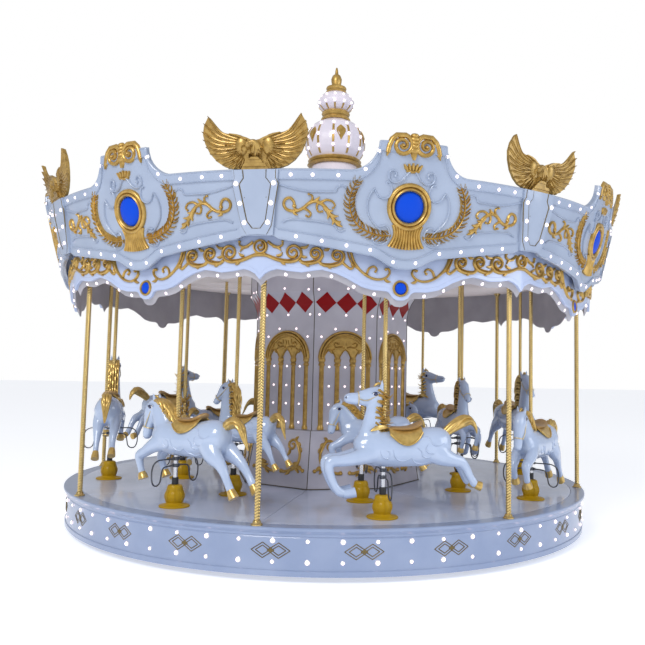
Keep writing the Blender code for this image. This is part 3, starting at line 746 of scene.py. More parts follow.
def column(materials):
    """Octagonal housing: battered plinth and drum with a flared head."""
    shell = Shape()
    shell.turned(((0.98, DECK_TOP + 0.001), (0.875, 0.951)), SIDES, phase=HALF)
    add("plinth_shell", shell.mesh("plinth_shell", materials["column_white"], 20), "turntable",
        nodes=("column_plinth",))
    shell = Shape()
    shell.turned(((0.835, 0.951), (0.835, 2.10), (0.846, 2.18), (0.880, 2.26), (0.914, 2.31), (0.914, 2.572)), SIDES,
                 phase=HALF)
    add("drum_shell", shell.mesh("drum_shell", materials["column_white"], 20), "turntable",
        nodes=("column_drum",))


def merged(shape, name, material, voxel=0.009, keep=0.24):
    """One smooth skin around overlapping closed forms."""
    base = bpy.data.objects.new(name, shape.mesh(name, material, 180))
    bpy.context.scene.collection.objects.link(base)
    skin = base.modifiers.new("skin", "REMESH")
    skin.mode = "VOXEL"
    skin.voxel_size = voxel
    soften = base.modifiers.new("soften", "SMOOTH")
    soften.factor = 0.5
    soften.iterations = 5
    fewer = base.modifiers.new("fewer", "DECIMATE")
    fewer.ratio = keep
    bpy.context.view_layer.update()
    depsgraph = bpy.context.evaluated_depsgraph_get()
    mesh = bpy.data.meshes.new_from_object(base.evaluated_get(depsgraph))
    bpy.data.objects.remove(base)
    mesh.shade_smooth()
    mesh.name = name
    return mesh


def limb(shape, stations, sides=14, steps=4):
    """Rounded form through stations of (forward, outward, up, half width, half height)."""
    path = smooth_path(stations, steps)
    rings = []
    for i, (forward, outward, up, wide, high) in enumerate(path):
        before = Vector(path[max(i - 1, 0)][:3])
        after = Vector(path[min(i + 1, len(path) - 1)][:3])
        along = (after - before).normalized()
        side = Vector((0.0, 1.0, 0.0))
        side = (side - along * side.dot(along)).normalized()
        across = along.cross(side)
        centre = Vector((forward, outward, up))
        rings.append([centre + side * wide * math.cos(math.tau * k / sides)
                      + across * high * math.sin(math.tau * k / sides) for k in range(sides)])
    shape.skin(rings)


# Trunk of every horse, as (forward, up, half width, half height)
TRUNK = (
    (0.240, 0.165, 0.030, 0.035), (0.215, 0.165, 0.075, 0.085), (0.140, 0.155, 0.108, 0.132),
    (0.020, 0.145, 0.120, 0.142), (-0.140, 0.143, 0.124, 0.141), (-0.280, 0.150, 0.127, 0.147),
    (-0.400, 0.172, 0.130, 0.146), (-0.480, 0.185, 0.115, 0.128), (-0.530, 0.190, 0.085, 0.095),
    (-0.558, 0.190, 0.030, 0.035))
THIGH = (-0.40, 0.13, 0.070, 0.100)
SHOULDER = (0.10, 0.12, 0.055, 0.085)
LEG_OFFSET = 0.075

# Poses: each list is (forward, up, half width, half height); a leg is given for the outward and the inward side
HORSES = {
    "leaping": {
        "neck": ((0.115, 0.20, 0.080, 0.110), (0.100, 0.30, 0.064, 0.088), (0.088, 0.40, 0.053, 0.070),
                 (0.075, 0.50, 0.046, 0.060), (0.055, 0.575, 0.042, 0.050)),
        "head": ((0.012, 0.600, 0.030, 0.032), (0.050, 0.578, 0.049, 0.062), (0.105, 0.548, 0.053, 0.077),
                 (0.170, 0.540, 0.045, 0.064), (0.220, 0.534, 0.037, 0.050), (0.270, 0.534, 0.036, 0.046),
                 (0.310, 0.534, 0.031, 0.036), (0.328, 0.534, 0.012, 0.015)),
        "fore": (((0.22, 0.085, 0.054, 0.062), (0.34, 0.062, 0.045, 0.048), (0.430, 0.056, 0.043, 0.045),
                  (0.452, 0.010, 0.038, 0.039), (0.428, -0.070, 0.031, 0.034), (0.395, -0.138, 0.029, 0.032),
                  (0.360, -0.176, 0.033, 0.036), (0.320, -0.188, 0.029, 0.031)),) * 2,
        "fore_hoof": (((0.335, -0.188, 0.031, 0.032), (0.290, -0.188, 0.037, 0.037), (0.240, -0.178, 0.040, 0.040)),) * 2,
        "hind": (((-0.47, 0.090, 0.062, 0.080), (-0.55, 0.062, 0.050, 0.058), (-0.620, 0.045, 0.042, 0.047),
                  (-0.665, -0.005, 0.034, 0.037), (-0.700, -0.070, 0.029, 0.032), (-0.730, -0.118, 0.032, 0.035),
                  (-0.752, -0.140, 0.028, 0.030)),) * 2,
        "hind_hoof": (((-0.744, -0.132, 0.029, 0.031), (-0.768, -0.143, 0.033, 0.036), (-0.792, -0.150, 0.034, 0.038)),) * 2,
        "tail": ((-0.49, 0.25), (-0.56, 0.305), (-0.645, 0.355), (-0.715, 0.372), (-0.765, 0.330), (-0.785, 0.265)),
        "crest": ((0.000, 0.600), (-0.005, 0.540), (0.010, 0.470), (0.020, 0.400), (0.020, 0.340), (0.030, 0.305)),
        "lock": 0.105, "eye": (0.082, 0.571, 0.048), "ear": (0.030, 0.625, 0.0, 1.0),
        "noseband": (0.215, 0.534, 0.040, 0.054, 0.0)},
    "prancing": {
        "neck": ((0.120, 0.175, 0.086, 0.122), (0.152, 0.250, 0.073, 0.107), (0.194, 0.322, 0.061, 0.088),
                 (0.228, 0.378, 0.052, 0.070), (0.246, 0.414, 0.045, 0.053)),
        "head": ((0.236, 0.436, 0.029, 0.030), (0.264, 0.408, 0.051, 0.061), (0.298, 0.352, 0.056, 0.077),
                 (0.320, 0.286, 0.047, 0.061), (0.337, 0.218, 0.039, 0.047), (0.346, 0.168, 0.038, 0.044),
                 (0.350, 0.132, 0.033, 0.037), (0.350, 0.114, 0.013, 0.015)),
        "fore": (((0.20, 0.070, 0.054, 0.060), (0.285, 0.018, 0.045, 0.047), (0.345, -0.012, 0.041, 0.042),
                  (0.350, -0.050, 0.035, 0.036), (0.330, -0.112, 0.028, 0.030), (0.312, -0.160, 0.029, 0.031)),
                 ((0.18, 0.050, 0.050, 0.056), (0.238, -0.010, 0.042, 0.044), (0.250, -0.048, 0.036, 0.037),
                  (0.225, -0.105, 0.028, 0.030), (0.200, -0.148, 0.029, 0.031))),
        "fore_hoof": (((0.314, -0.154, 0.029, 0.030), (0.303, -0.178, 0.038, 0.040), (0.292, -0.206, 0.041, 0.044)),
                      ((0.204, -0.141, 0.029, 0.030), (0.192, -0.164, 0.036, 0.038), (0.178, -0.190, 0.039, 0.042))),
        "hind": (((-0.47, 0.050, 0.062, 0.084), (-0.540, -0.010, 0.048, 0.056), (-0.580, -0.058, 0.038, 0.043),
                  (-0.622, -0.130, 0.030, 0.033), (-0.656, -0.190, 0.032, 0.034), (-0.670, -0.212, 0.030, 0.032)),
                 ((-0.51, 0.064, 0.062, 0.080), (-0.600, 0.012, 0.048, 0.054), (-0.655, -0.034, 0.038, 0.043),
                  (-0.712, -0.102, 0.030, 0.033), (-0.752, -0.158, 0.032, 0.034), (-0.768, -0.180, 0.030, 0.032))),
        "hind_hoof": (((-0.662, -0.204, 0.030, 0.032), (-0.681, -0.232, 0.036, 0.040), (-0.702, -0.264, 0.039, 0.046)),
                      ((-0.761, -0.172, 0.030, 0.032), (-0.780, -0.200, 0.036, 0.040), (-0.802, -0.232, 0.039, 0.046))),
        "tail": ((-0.505, 0.25), (-0.570, 0.292), (-0.635, 0.305), (-0.690, 0.262), (-0.722, 0.185), (-0.765, 0.100)),
        "crest": ((0.232, 0.452), (0.195, 0.440), (0.146, 0.400), (0.100, 0.350), (0.060, 0.312), (0.022, 0.290)),
        "lock": 0.155, "eye": (0.274, 0.390, 0.052), "ear": (0.242, 0.450, 0.010, 1.0),
        "noseband": (0.336, 0.218, 0.042, 0.051, 1.35)},
    "rearing": {
        "neck": ((0.120, 0.20, 0.082, 0.115), (0.124, 0.32, 0.065, 0.092), (0.132, 0.44, 0.055, 0.075),
                 (0.132, 0.54, 0.047, 0.061), (0.115, 0.605, 0.042, 0.050)),
        "head": ((0.080, 0.640, 0.028, 0.030), (0.120, 0.622, 0.049, 0.062), (0.172, 0.582, 0.053, 0.073),
                 (0.215, 0.535, 0.045, 0.058), (0.252, 0.490, 0.037, 0.046), (0.282, 0.455, 0.035, 0.041),
                 (0.305, 0.432, 0.030, 0.033), (0.315, 0.420, 0.012, 0.014)),
        "fore": (((0.22, 0.115, 0.050, 0.052), (0.33, 0.110, 0.041, 0.041), (0.400, 0.092, 0.038, 0.038),
                  (0.408, 0.045, 0.032, 0.032), (0.380, -0.030, 0.025, 0.027), (0.352, -0.085, 0.026, 0.028)),
                 ((0.20, 0.090, 0.048, 0.052), (0.300, 0.060, 0.040, 0.041), (0.345, 0.030, 0.035, 0.036),
                  (0.335, -0.030, 0.028, 0.029), (0.300, -0.085, 0.025, 0.027), (0.276, -0.120, 0.026, 0.028))),
        "fore_hoof": (((0.356, -0.078, 0.026, 0.027), (0.345, -0.103, 0.036, 0.038), (0.334, -0.132, 0.039, 0.042)),
                      ((0.281, -0.113, 0.026, 0.027), (0.267, -0.137, 0.036, 0.038), (0.252, -0.164, 0.039, 0.042))),
        "hind": (((-0.46, 0.045, 0.058, 0.078), (-0.530, -0.020, 0.043, 0.050), (-0.562, -0.070, 0.034, 0.038),
                  (-0.600, -0.140, 0.026, 0.028), (-0.632, -0.200, 0.028, 0.030)),
                 ((-0.49, 0.060, 0.058, 0.078), (-0.575, 0.000, 0.043, 0.050), (-0.620, -0.045, 0.034, 0.038),
                  (-0.662, -0.110, 0.026, 0.028), (-0.700, -0.165, 0.028, 0.030))),
        "hind_hoof": (((-0.628, -0.192, 0.027, 0.029), (-0.648, -0.222, 0.034, 0.038), (-0.668, -0.255, 0.037, 0.044)),
                      ((-0.695, -0.157, 0.027, 0.029), (-0.716, -0.187, 0.034, 0.038), (-0.738, -0.220, 0.037, 0.044))),
        "tail": ((-0.505, 0.25), (-0.565, 0.300), (-0.625, 0.310), (-0.670, 0.265), (-0.690, 0.180), (-0.720, 0.080)),
        "crest": ((0.075, 0.660), (0.050, 0.610), (0.045, 0.530), (0.045, 0.450), (0.035, 0.370), (0.020, 0.305)),
        "lock": 0.130, "eye": (0.145, 0.605, 0.048), "ear": (0.090, 0.660, 0.0, 1.0),
        "noseband": (0.255, 0.487, 0.041, 0.050, 0.85)},
}
OUTER_POSES = ("leaping", "prancing", "rearing", "leaping", "prancing", "leaping", "rearing", "prancing")
INNER_POSES = ("prancing", "rearing", "leaping", "prancing", "rearing", "prancing", "leaping", "rearing")
TURNED_HORSE = ("inner", 1)
TURNED_HORSE_ANGLE = math.radians(45)


def horse_skin(pose):
    """Trunk, neck, head, ears and legs of one pose, still as separate closed forms."""
    shape = Shape()
    limb(shape, [(f, 0.0, u, w, h) for f, u, w, h in TRUNK], 20)
    for part in ("neck", "head"):
        limb(shape, [(f, 0.0, u, w, h) for f, u, w, h in pose[part]], 16)
    for index, side in enumerate((1, -1)):
        offset = side * LEG_OFFSET
        for root, leg in ((SHOULDER, "fore"), (THIGH, "hind")):
            stations = [(root[0], offset * 0.8, *root[1:])]
            stations += [(f, offset, u, w, h) for f, u, w, h in pose[leg][index]]
            limb(shape, stations, 12)
        forward, up, lean, _ = pose["ear"]
        ear = [(forward, side * 0.026, up - 0.02, 0.016, 0.018), (forward + lean, side * 0.034, up + 0.025, 0.012, 0.016),
               (forward + 2 * lean, side * 0.036, up + 0.060, 0.003, 0.004)]
        limb(shape, ear, 8)
    return shape


def flowing_mane(shape, crest, length):
    """Smooth mass of long locks that sweep back from the crest and fall along the neck."""
    path = smooth_path(crest, 6)
    count = 12
    for row, (offset, reach) in enumerate(((0.0, 1.0), (0.022, 0.98), (-0.022, 0.98), (0.042, 0.86), (-0.042, 0.86))):
        for k in range(count):
            t = (k + 0.5 * (row % 2)) / count
            start = path[min(len(path) - 1, int(t * (len(path) - 1)))]
            size = length * reach * (0.62 + 0.38 * math.sin(math.pi * min(1.0, 0.25 + 0.75 * t)))
            size *= 1.0 + 0.10 * math.sin(2.4 * k + row)
            root = Vector((start[0] + 0.022, 0.7 * offset, start[1] - 0.010))
            steps = ((0.0, 0.0), (-0.36, 0.10), (-0.68, -0.02), (-0.90, -0.34), (-0.98, -0.74))
            points = [(root.x + size * back, offset * (0.7 + 0.12 * i), root.z + size * up)
                      for i, (back, up) in enumerate(steps)]
            shape.tube(smooth_path(points, 2), lambda s: (0.0165 * max(0.10, math.sin(math.pi * (0.25 + 0.75 * s)) ** 0.7),
                                                          0.0130 * max(0.10, 1.0 - s ** 3)), 5)


def spiky_mane(shape, crest, length):
    """Separate pointed locks that stand off the neck, with their tips turned up."""
    path = smooth_path(crest, 6)
    count = 8
    for row, (offset, reach) in enumerate(((0.0, 0.8), (0.036, 1.10), (-0.036, 1.10), (0.052, 0.85), (-0.052, 0.85))):
        for k in range(count):
            t = (k + 0.5 * (row % 2)) / count
            start = path[min(len(path) - 1, int(t * (len(path) - 1)))]
            size = length * reach * (0.85 + 0.20 * math.sin(2.1 * k + 1.3 * row) + 0.35 * t * t)
            root = Vector((start[0] + 0.020 + 0.85 * abs(offset), offset, start[1] + 0.012))
            droop = -0.30 - 0.25 * math.sin(1.7 * k + row)
            steps = ((0.0, 0.0), (-0.30, 0.45 * droop), (-0.66, 0.95 * droop), (-1.0, 0.45 * droop))
            points = [(root.x + size * back, offset * (1.0 - 0.10 * i), root.z + size * up)
                      for i, (back, up) in enumerate(steps)]
            shape.tube(smooth_path(points, 3), lambda s: (0.0175 * max(0.05, math.sin(math.pi * (0.16 + 0.84 * s)) ** 0.9),
                                                          0.0110 * max(0.08, 1.0 - s ** 2)), 5)
    # One broad lock on each side over the withers
    for side in (-1, 1):
        foot = path[-1]
        points = [(foot[0] + 0.095, side * 0.075, foot[1] - 0.018), (foot[0] + 0.045, side * 0.072, foot[1] + 0.004),
                  (foot[0] - 0.015, side * 0.050, foot[1] + 0.010), (foot[0] - 0.055, side * 0.022, foot[1] + 0.002)]
        shape.tube(smooth_path(points, 3), lambda s: (0.012, 0.020 * max(0.08, math.sin(math.pi * (0.1 + 0.8 * s)))), 6)


def tail(shape, path):
    """Thick tail of a few twisted strands."""
    base = smooth_path(path, 3)
    count = len(base) - 1
    for strand in range(6):
        around = math.tau * strand / 6
        points = []
        for i, (forward, up) in enumerate(base):
            t = i / count
            spread = 0.024 * math.sin(math.pi * min(1.0, 0.12 + 0.88 * t)) + 0.004
            twist = around + 1.6 * t
            points.append((forward + spread * 0.5 * math.sin(twist), spread * math.cos(twist),
                           up + spread * math.sin(twist)))
        shape.tube(points, lambda t: 0.022 * max(0.12, math.sin(math.pi * min(1.0, 0.22 + 0.78 * t)) ** 0.8), 6)


def trunk_side(forward, up, rise):
    """Point on the outward flank of the trunk."""
    stations = TRUNK
    for first, second in zip(stations, stations[1:]):
        if forward >= second[0] or second is stations[-1]:
            t = max(0.0, min(1.0, (first[0] - forward) / (first[0] - second[0])))
            centre, wide, high = (first[i] + (second[i] - first[i]) * t for i in (1, 2, 3))
            break
    level = max(-0.96, min(0.96, (up - centre) / high))
    return Vector((forward, wide * math.sqrt(1 - level ** 2) + rise, up + rise * level * 0.6))


def saddle(gold, seat, reach):
    """Gold saddle skirt with a rim, and a brown seat with a raised cantle. Reach is the skirt's angle from the top."""
    front, back, centre_up = -0.030, -0.295, 0.145
    rows = 11
    across = 16
    rims = ([], [])
    sheet = []
    for i in range(rows + 1):
        t = i / rows
        forward = front + (back - front) * t
        spread = math.radians(32 + (reach - 32) * math.sin(math.pi * min(1.0, 0.06 + 0.9 * t)) ** 0.8)
        lift = 0.035 * max(0.0, (t - 0.55) / 0.45) ** 1.6 + 0.012 * max(0.0, 0.25 - t) / 0.25
        outer, inner = [], []
        for j in range(across + 1):
            turn = spread * (2 * j / across - 1)
            rise = lift * math.cos(turn) ** 4 if abs(turn) < math.pi / 2 else 0.0
            for bucket, extra in ((outer, 0.014), (inner, 0.002)):
                bucket.append(Vector((forward, (0.124 + extra) * math.sin(turn),
                                      centre_up + (0.146 + extra) * math.cos(turn) + rise)))
        sheet.append(outer + inner[::-1])
        rims[0].append(outer[0])
        rims[1].append(outer[-1])
    gold.skin(sheet)
    for rim in rims:
        gold.tube(rim, 0.008, 6)
    limb(seat, [(-0.035, 0.0, 0.300, 0.030, 0.010), (-0.070, 0.0, 0.303, 0.068, 0.016), (-0.140, 0.0, 0.302, 0.088, 0.016),
                (-0.210, 0.0, 0.308, 0.088, 0.018), (-0.265, 0.0, 0.326, 0.078, 0.020),
                (-0.300, 0.0, 0.348, 0.055, 0.018), (-0.312, 0.0, 0.362, 0.020, 0.008)], 16, 3)


FLANK_LINES = (
    ((0.055, 0.150), (0.045, 0.105), (0.005, 0.075), (-0.020, 0.095), (-0.015, 0.130), (0.010, 0.140)),
    ((-0.045, 0.155), (-0.055, 0.105), (-0.095, 0.065), (-0.150, 0.060), (-0.200, 0.085)),
    ((-0.200, 0.085), (-0.225, 0.050), (-0.280, 0.030), (-0.345, 0.045), (-0.385, 0.080)),
    ((-0.250, 0.215), (-0.300, 0.245), (-0.345, 0.235), (-0.365, 0.190), (-0.415, 0.175), (-0.470, 0.200)),
    ((-0.330, 0.190), (-0.310, 0.150), (-0.340, 0.120), (-0.400, 0.120), (-0.450, 0.150)),
    ((-0.235, 0.165), (-0.275, 0.135), (-0.290, 0.095), (-0.340, 0.085), (-0.390, 0.100)))


def horse_parts(materials, name):
    """Meshes of one pose as (suffix, mesh, slot)."""
    pose = HORSES[name]
    parts = [("body", merged(horse_skin(pose), f"horse_{name}", materials["horse_white"]), "horse_white")]
    trim = Shape()
    gold = Shape()
    seat = Shape()
    dark = Shape()
    strap = Shape()
    eyes = Shape()
    saddle(gold, seat, 76 if name == "leaping" else 68)
    tail(gold, pose["tail"])
    mane = spiky_mane if name == "leaping" else flowing_mane
    mane(gold, pose["crest"], pose["lock"])
    # Forelock between the ears
    forward, up, _, _ = pose["ear"]
    gold.tube(smooth_path([(forward - 0.01, 0.0, up + 0.01), (forward + 0.02, 0.0, up + 0.03),
                           (forward + 0.06, 0.0, up + 0.005)], 4), swell(0.012), 6)
    for index, side in enumerate((1, -1)):
        offset = side * LEG_OFFSET
        for part in ("fore_hoof", "hind_hoof"):
            limb(gold if name != "leaping" or part == "hind_hoof" else trim,
                 [(f, offset, u, w, h) for f, u, w, h in pose[part][index]], 12, 2)
        for line in FLANK_LINES:
            trim.stroke(smooth_path(line, 3), swell(0.006), swell(0.006),
                        lambda f, u, h: Vector((1, side, 1)) * trunk_side(f, u, h))
        forward, up, wide = pose["eye"]
        dark.ball((forward, side * (wide + 0.001), up), (0.021, 0.010, 0.015), 12, 6)
        eyes.ball((forward, side * (wide - 0.003), up), (0.027, 0.010, 0.018), 12, 6)
        # Dark lash line of the upper eyelid, white lid over it, and nostril
        for rise, bucket, thick in ((0.018, dark, 0.0035), (0.024, trim, 0.006)):
            lid = [(forward + (0.012 + rise) * math.cos(math.pi * i / 8), side * (wide + 0.001),
                    up + rise * math.sin(math.pi * i / 8)) for i in range(9)]
            bucket.tube(lid, swell(thick), 6)
        head = pose["head"][-2]
        dark.ball((head[0] + 0.006, side * (head[2] - 0.004), head[1] + 0.008), (0.007, 0.004, 0.009), 8, 5)
    # Bridle: a noseband and a cheek strap on each side to the ear
    forward, up, wide, high, tilt = pose["noseband"]
    loop = []
    for k in range(20):
        around = math.tau * k / 20
        loop.append((forward + high * math.sin(around) * math.sin(tilt), wide * math.cos(around),
                     up + high * math.sin(around) * math.cos(tilt)))
    strap.tube(loop, 0.0045, 6, loop=True)
    ear_forward, ear_up, _, _ = pose["ear"]
    for side in (1, -1):
        middle = ((forward + pose["eye"][0]) / 2, side * 0.052, (up + pose["eye"][1]) / 2 - 0.03)
        strap.tube(smooth_path([(forward, side * wide, up), middle, (ear_forward + 0.005, side * 0.045, ear_up - 0.045)], 5),
                   0.0042, 6)
    parts.append(("relief", trim.mesh(f"relief_{name}", materials["horse_white"], 60), "horse_white"))
    parts.append(("gold", gold.mesh(f"gold_{name}", materials["horse_gold"], 60), "antique_gold"))
    parts.append(("seat", seat.mesh(f"seat_{name}", materials["brown_seat"], 60), "antique_gold"))
    parts.append(("bridle", strap.mesh(f"bridle_{name}", materials["bridle_gold"], 60), "antique_gold"))
    parts.append(("eyes", dark.mesh(f"eyes_{name}", materials["eye_blue"], 60), "dark_steel"))
    parts.append(("eye_whites", eyes.mesh(f"eye_whites_{name}", materials["eye_white"], 60), "horse_white"))
    return parts


def foot_loops(scale):
    """Chrome bars through the post twice, with a hanging loop for a foot on each side."""
    side = ((0.0, -0.022), (0.10, -0.022), (0.185, -0.022), (0.235, -0.045), (0.258, -0.095), (0.258, -0.165),
            (0.238, -0.212), (0.202, -0.222), (0.170, -0.198), (0.158, -0.145), (0.145, -0.098), (0.110, -0.080),
            (0.0, -0.076))
    path = [(out * scale, up) for out, up in side]
    path += [(-out, up) for out, up in reversed(path[1:-1])]
    shape = Shape()
    smooth = smooth_path(path, 4, loop=True)
    shape.tube([(0.0, out, up) for out, up in smooth], 0.0062, 6, loop=True)
    for up in (-0.022, -0.076):
        shape.turned(((0.0265, up - 0.014), (0.0285, up - 0.011), (0.0285, up + 0.011), (0.0265, up + 0.014)), 20)
        for out in (-0.036, 0.036):
            shape.turned(((0.0095, up - 0.011), (0.0095, up + 0.011)), 10, Vector((0.0, out, 0.0)))
    return shape


def horses(materials):
    """Sixteen horses with their lift rods and foot loops, each on its own body."""
    parts = {name: horse_parts(materials, name) for name in HORSES}
    post = Shape()
    foot = ROD_FOOT - BELLY_HEIGHT
    head = CEILING_UNDERSIDE + ROD_HEAD - DECK_TOP - BELLY_HEIGHT
    post.turned(((0.0150, foot), (0.0185, foot + 0.004), (0.0185, 0.25)), 20)
    post_mesh = post.mesh("rod_post", materials["chrome"])
    upper = Shape()
    twisted(upper, Vector(), 0.18, head, ROD_RADIUS)
    upper_mesh = upper.mesh("rod_twist", materials["twisted_brass"], 50)
    loop_mesh = {ring: foot_loops(RING_SCALE[ring]).mesh(f"foot_loops_{ring}", materials["loop_steel"], 40)
                 for ring in RING_RADIUS}
    for ring, sector, angle, radius in rod_places():
        node = f"lift_rod_{ring}_{sector + 1}"
        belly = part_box(node)[0].z - ROD_FOOT + BELLY_HEIGHT
        body = f"{ring}_horse_{sector + 1}"
        heading = angle + (TURNED_HORSE_ANGLE if (ring, sector) == TURNED_HORSE else 0.0)
        place = Matrix.Translation(polar(radius, angle, belly)) @ Matrix.Rotation(heading + math.pi, 4, "Z")
        add(f"post_{ring}_{sector + 1}", post_mesh, body, place, (node,))
        add(f"twist_{ring}_{sector + 1}", upper_mesh, body, place)
        add(f"foot_loops_{ring}_{sector + 1}", loop_mesh[ring], body, place)
        pose = (OUTER_POSES if ring == "outer" else INNER_POSES)[sector]
        sized = place @ Matrix.Scale(RING_SCALE[ring], 4)
        for suffix, mesh, slot in parts[pose]:
            nodes = (f"horse_{ring}_{sector + 1}",) if suffix == "body" else ()
            add(f"horse_{suffix}_{ring}_{sector + 1}", mesh, body, sized, nodes)


def leaf(shape, start, end, width, height, place, bow=0.0, least=0.10):
    """Pointed leaf from one point to another, bowed to one side."""
    du, dv = end[0] - start[0], end[1] - start[1]
    path = []
    for i in range(6):
        t = i / 5
        side = bow * math.sin(math.pi * t)
        path.append((start[0] + du * t - dv * side, start[1] + dv * t + du * side))
    shape.stroke(path, lambda t: width * max(least, math.sin(math.pi * (0.15 + 0.85 * t)) ** 0.8), height, place,
                 2 if width < 0.010 else 3)


def frond(shape, points, leaves, length, width, height, place):
    """Stem with pointed leaves on both sides, as on a laurel branch."""
    path = smooth_path(points, 8)
    shape.stroke(path, taper(0.009, 0.005), height * 1.15, place)
    for k in range(leaves):
        t = (k + 0.6) / leaves
        i = min(len(path) - 2, int(t * (len(path) - 1)))
        along = math.atan2(path[i + 1][1] - path[i][1], path[i + 1][0] - path[i][0])
        reach = length * (0.70 + 0.40 * math.sin(math.pi * min(1.0, 0.2 + 0.7 * t)))
        for side in (1, -1):
            aim = along + side * math.radians(43)
            tip = (path[i][0] + reach * math.cos(aim), path[i][1] + reach * math.sin(aim))
            leaf(shape, path[i], tip, width, height, place, side * 0.12)
    tip = (2 * path[-1][0] - path[-5][0], 2 * path[-1][1] - path[-5][1])
    leaf(shape, path[-2], tip, width, height, place)


def scroll(shape, points, first, last, height, place, knob=1.5, steps=3):
    """Raised scroll that tapers along its points to a round knob."""
    path = smooth_path(points, steps)
    shape.stroke(path, taper(first, last), height, place)
    if knob:
        shape.dome(path[-1][0], path[-1][1], last * knob, height * 1.35, place, 10, 3)


def swept(sign, place):
    """Place of the same ornament on the left (-1) or right (1) of the face's middle."""
    return lambda u, z, rise: place(sign * u, z, rise)


def circle(radius, count=32, centre=(0.0, 0.0), squash=1.0):
    return [(centre[0] + radius * math.cos(math.tau * i / count),
             centre[1] + radius * squash * math.sin(math.tau * i / count)) for i in range(count)]


# Medallion of a board and its wreath, as (u, z) on the right half of the face
MEDALLION = (0.0, 2.74)
GEM_RADIUS = 0.110
LAUREL = ((0.125, 2.533), (0.20, 2.530), (0.28, 2.545), (0.37, 2.590), (0.425, 2.665), (0.443, 2.75), (0.430, 2.83),
          (0.392, 2.905))
CROWN_SWIRL = ((0.02, 2.985), (0.04, 2.965), (0.065, 2.930), (0.105, 2.905), (0.148, 2.910), (0.170, 2.940),
               (0.165, 2.975), (0.140, 2.988), (0.117, 2.970), (0.125, 2.948))
WING_LINE = ((0.185, 2.900), (0.165, 2.905), (0.145, 2.875), (0.140, 2.840), (0.160, 2.800), (0.200, 2.788),
             (0.240, 2.805), (0.268, 2.855))
WING_EDGE = ((0.268, 2.855), (0.298, 2.810), (0.315, 2.745), (0.305, 2.680), (0.275, 2.630), (0.230, 2.585),
             (0.200, 2.560))
FAN_CURL = ((0.215, 2.590), (0.175, 2.602), (0.142, 2.575), (0.138, 2.530), (0.155, 2.490), (0.200, 2.468),
            (0.245, 2.478), (0.262, 2.505))
SIDE_STEM = ((0.842, 2.718), (0.846, 2.748), (0.870, 2.773), (0.903, 2.766), (0.920, 2.735), (0.906, 2.700),
             (0.868, 2.683), (0.820, 2.684), (0.775, 2.705), (0.735, 2.738), (0.690, 2.752), (0.650, 2.738),
             (0.610, 2.705), (0.580, 2.662), (0.545, 2.618), (0.505, 2.605))
SIDE_SHOOTS = (((0.775, 2.703), (0.745, 2.688), (0.722, 2.665), (0.735, 2.642), (0.755, 2.650)),
               ((0.735, 2.740), (0.712, 2.765), (0.715, 2.792), (0.738, 2.800)),
               ((0.665, 2.745), (0.680, 2.715), (0.668, 2.680), (0.640, 2.682)),
               ((0.655, 2.740), (0.615, 2.762), (0.570, 2.755), (0.548, 2.725), (0.562, 2.708)))
SIDE_LEAVES = (((0.850, 2.688), (0.815, 2.655), 0.013, 0.2), ((0.630, 2.715), (0.560, 2.690), 0.018, 0.2),
               ((0.615, 2.705), (0.600, 2.630), 0.018, -0.2), ((0.590, 2.675), (0.520, 2.655), 0.016, 0.2),
               ((0.570, 2.650), (0.565, 2.590), 0.015, -0.2), ((0.805, 2.690), (0.850, 2.715), 0.011, -0.2),
               ((0.700, 2.752), (0.660, 2.785), 0.013, 0.1), ((0.545, 2.620), (0.488, 2.580), 0.015, 0.1))
PANEL_LINES = (((0.470, 2.850), (0.505, 2.866), (0.535, 2.850), (0.550, 2.822), (0.640, 2.818), (0.740, 2.818),
                (0.850, 2.838), (0.950, 2.866)),
               ((0.470, 2.565), (0.500, 2.548), (0.530, 2.560), (0.548, 2.590), (0.640, 2.608), (0.740, 2.618),
                (0.870, 2.626), (0.930, 2.604)))
CREST_LEG = ((0.190, 3.110), (0.180, 3.160), (0.160, 3.205), (0.128, 3.235))


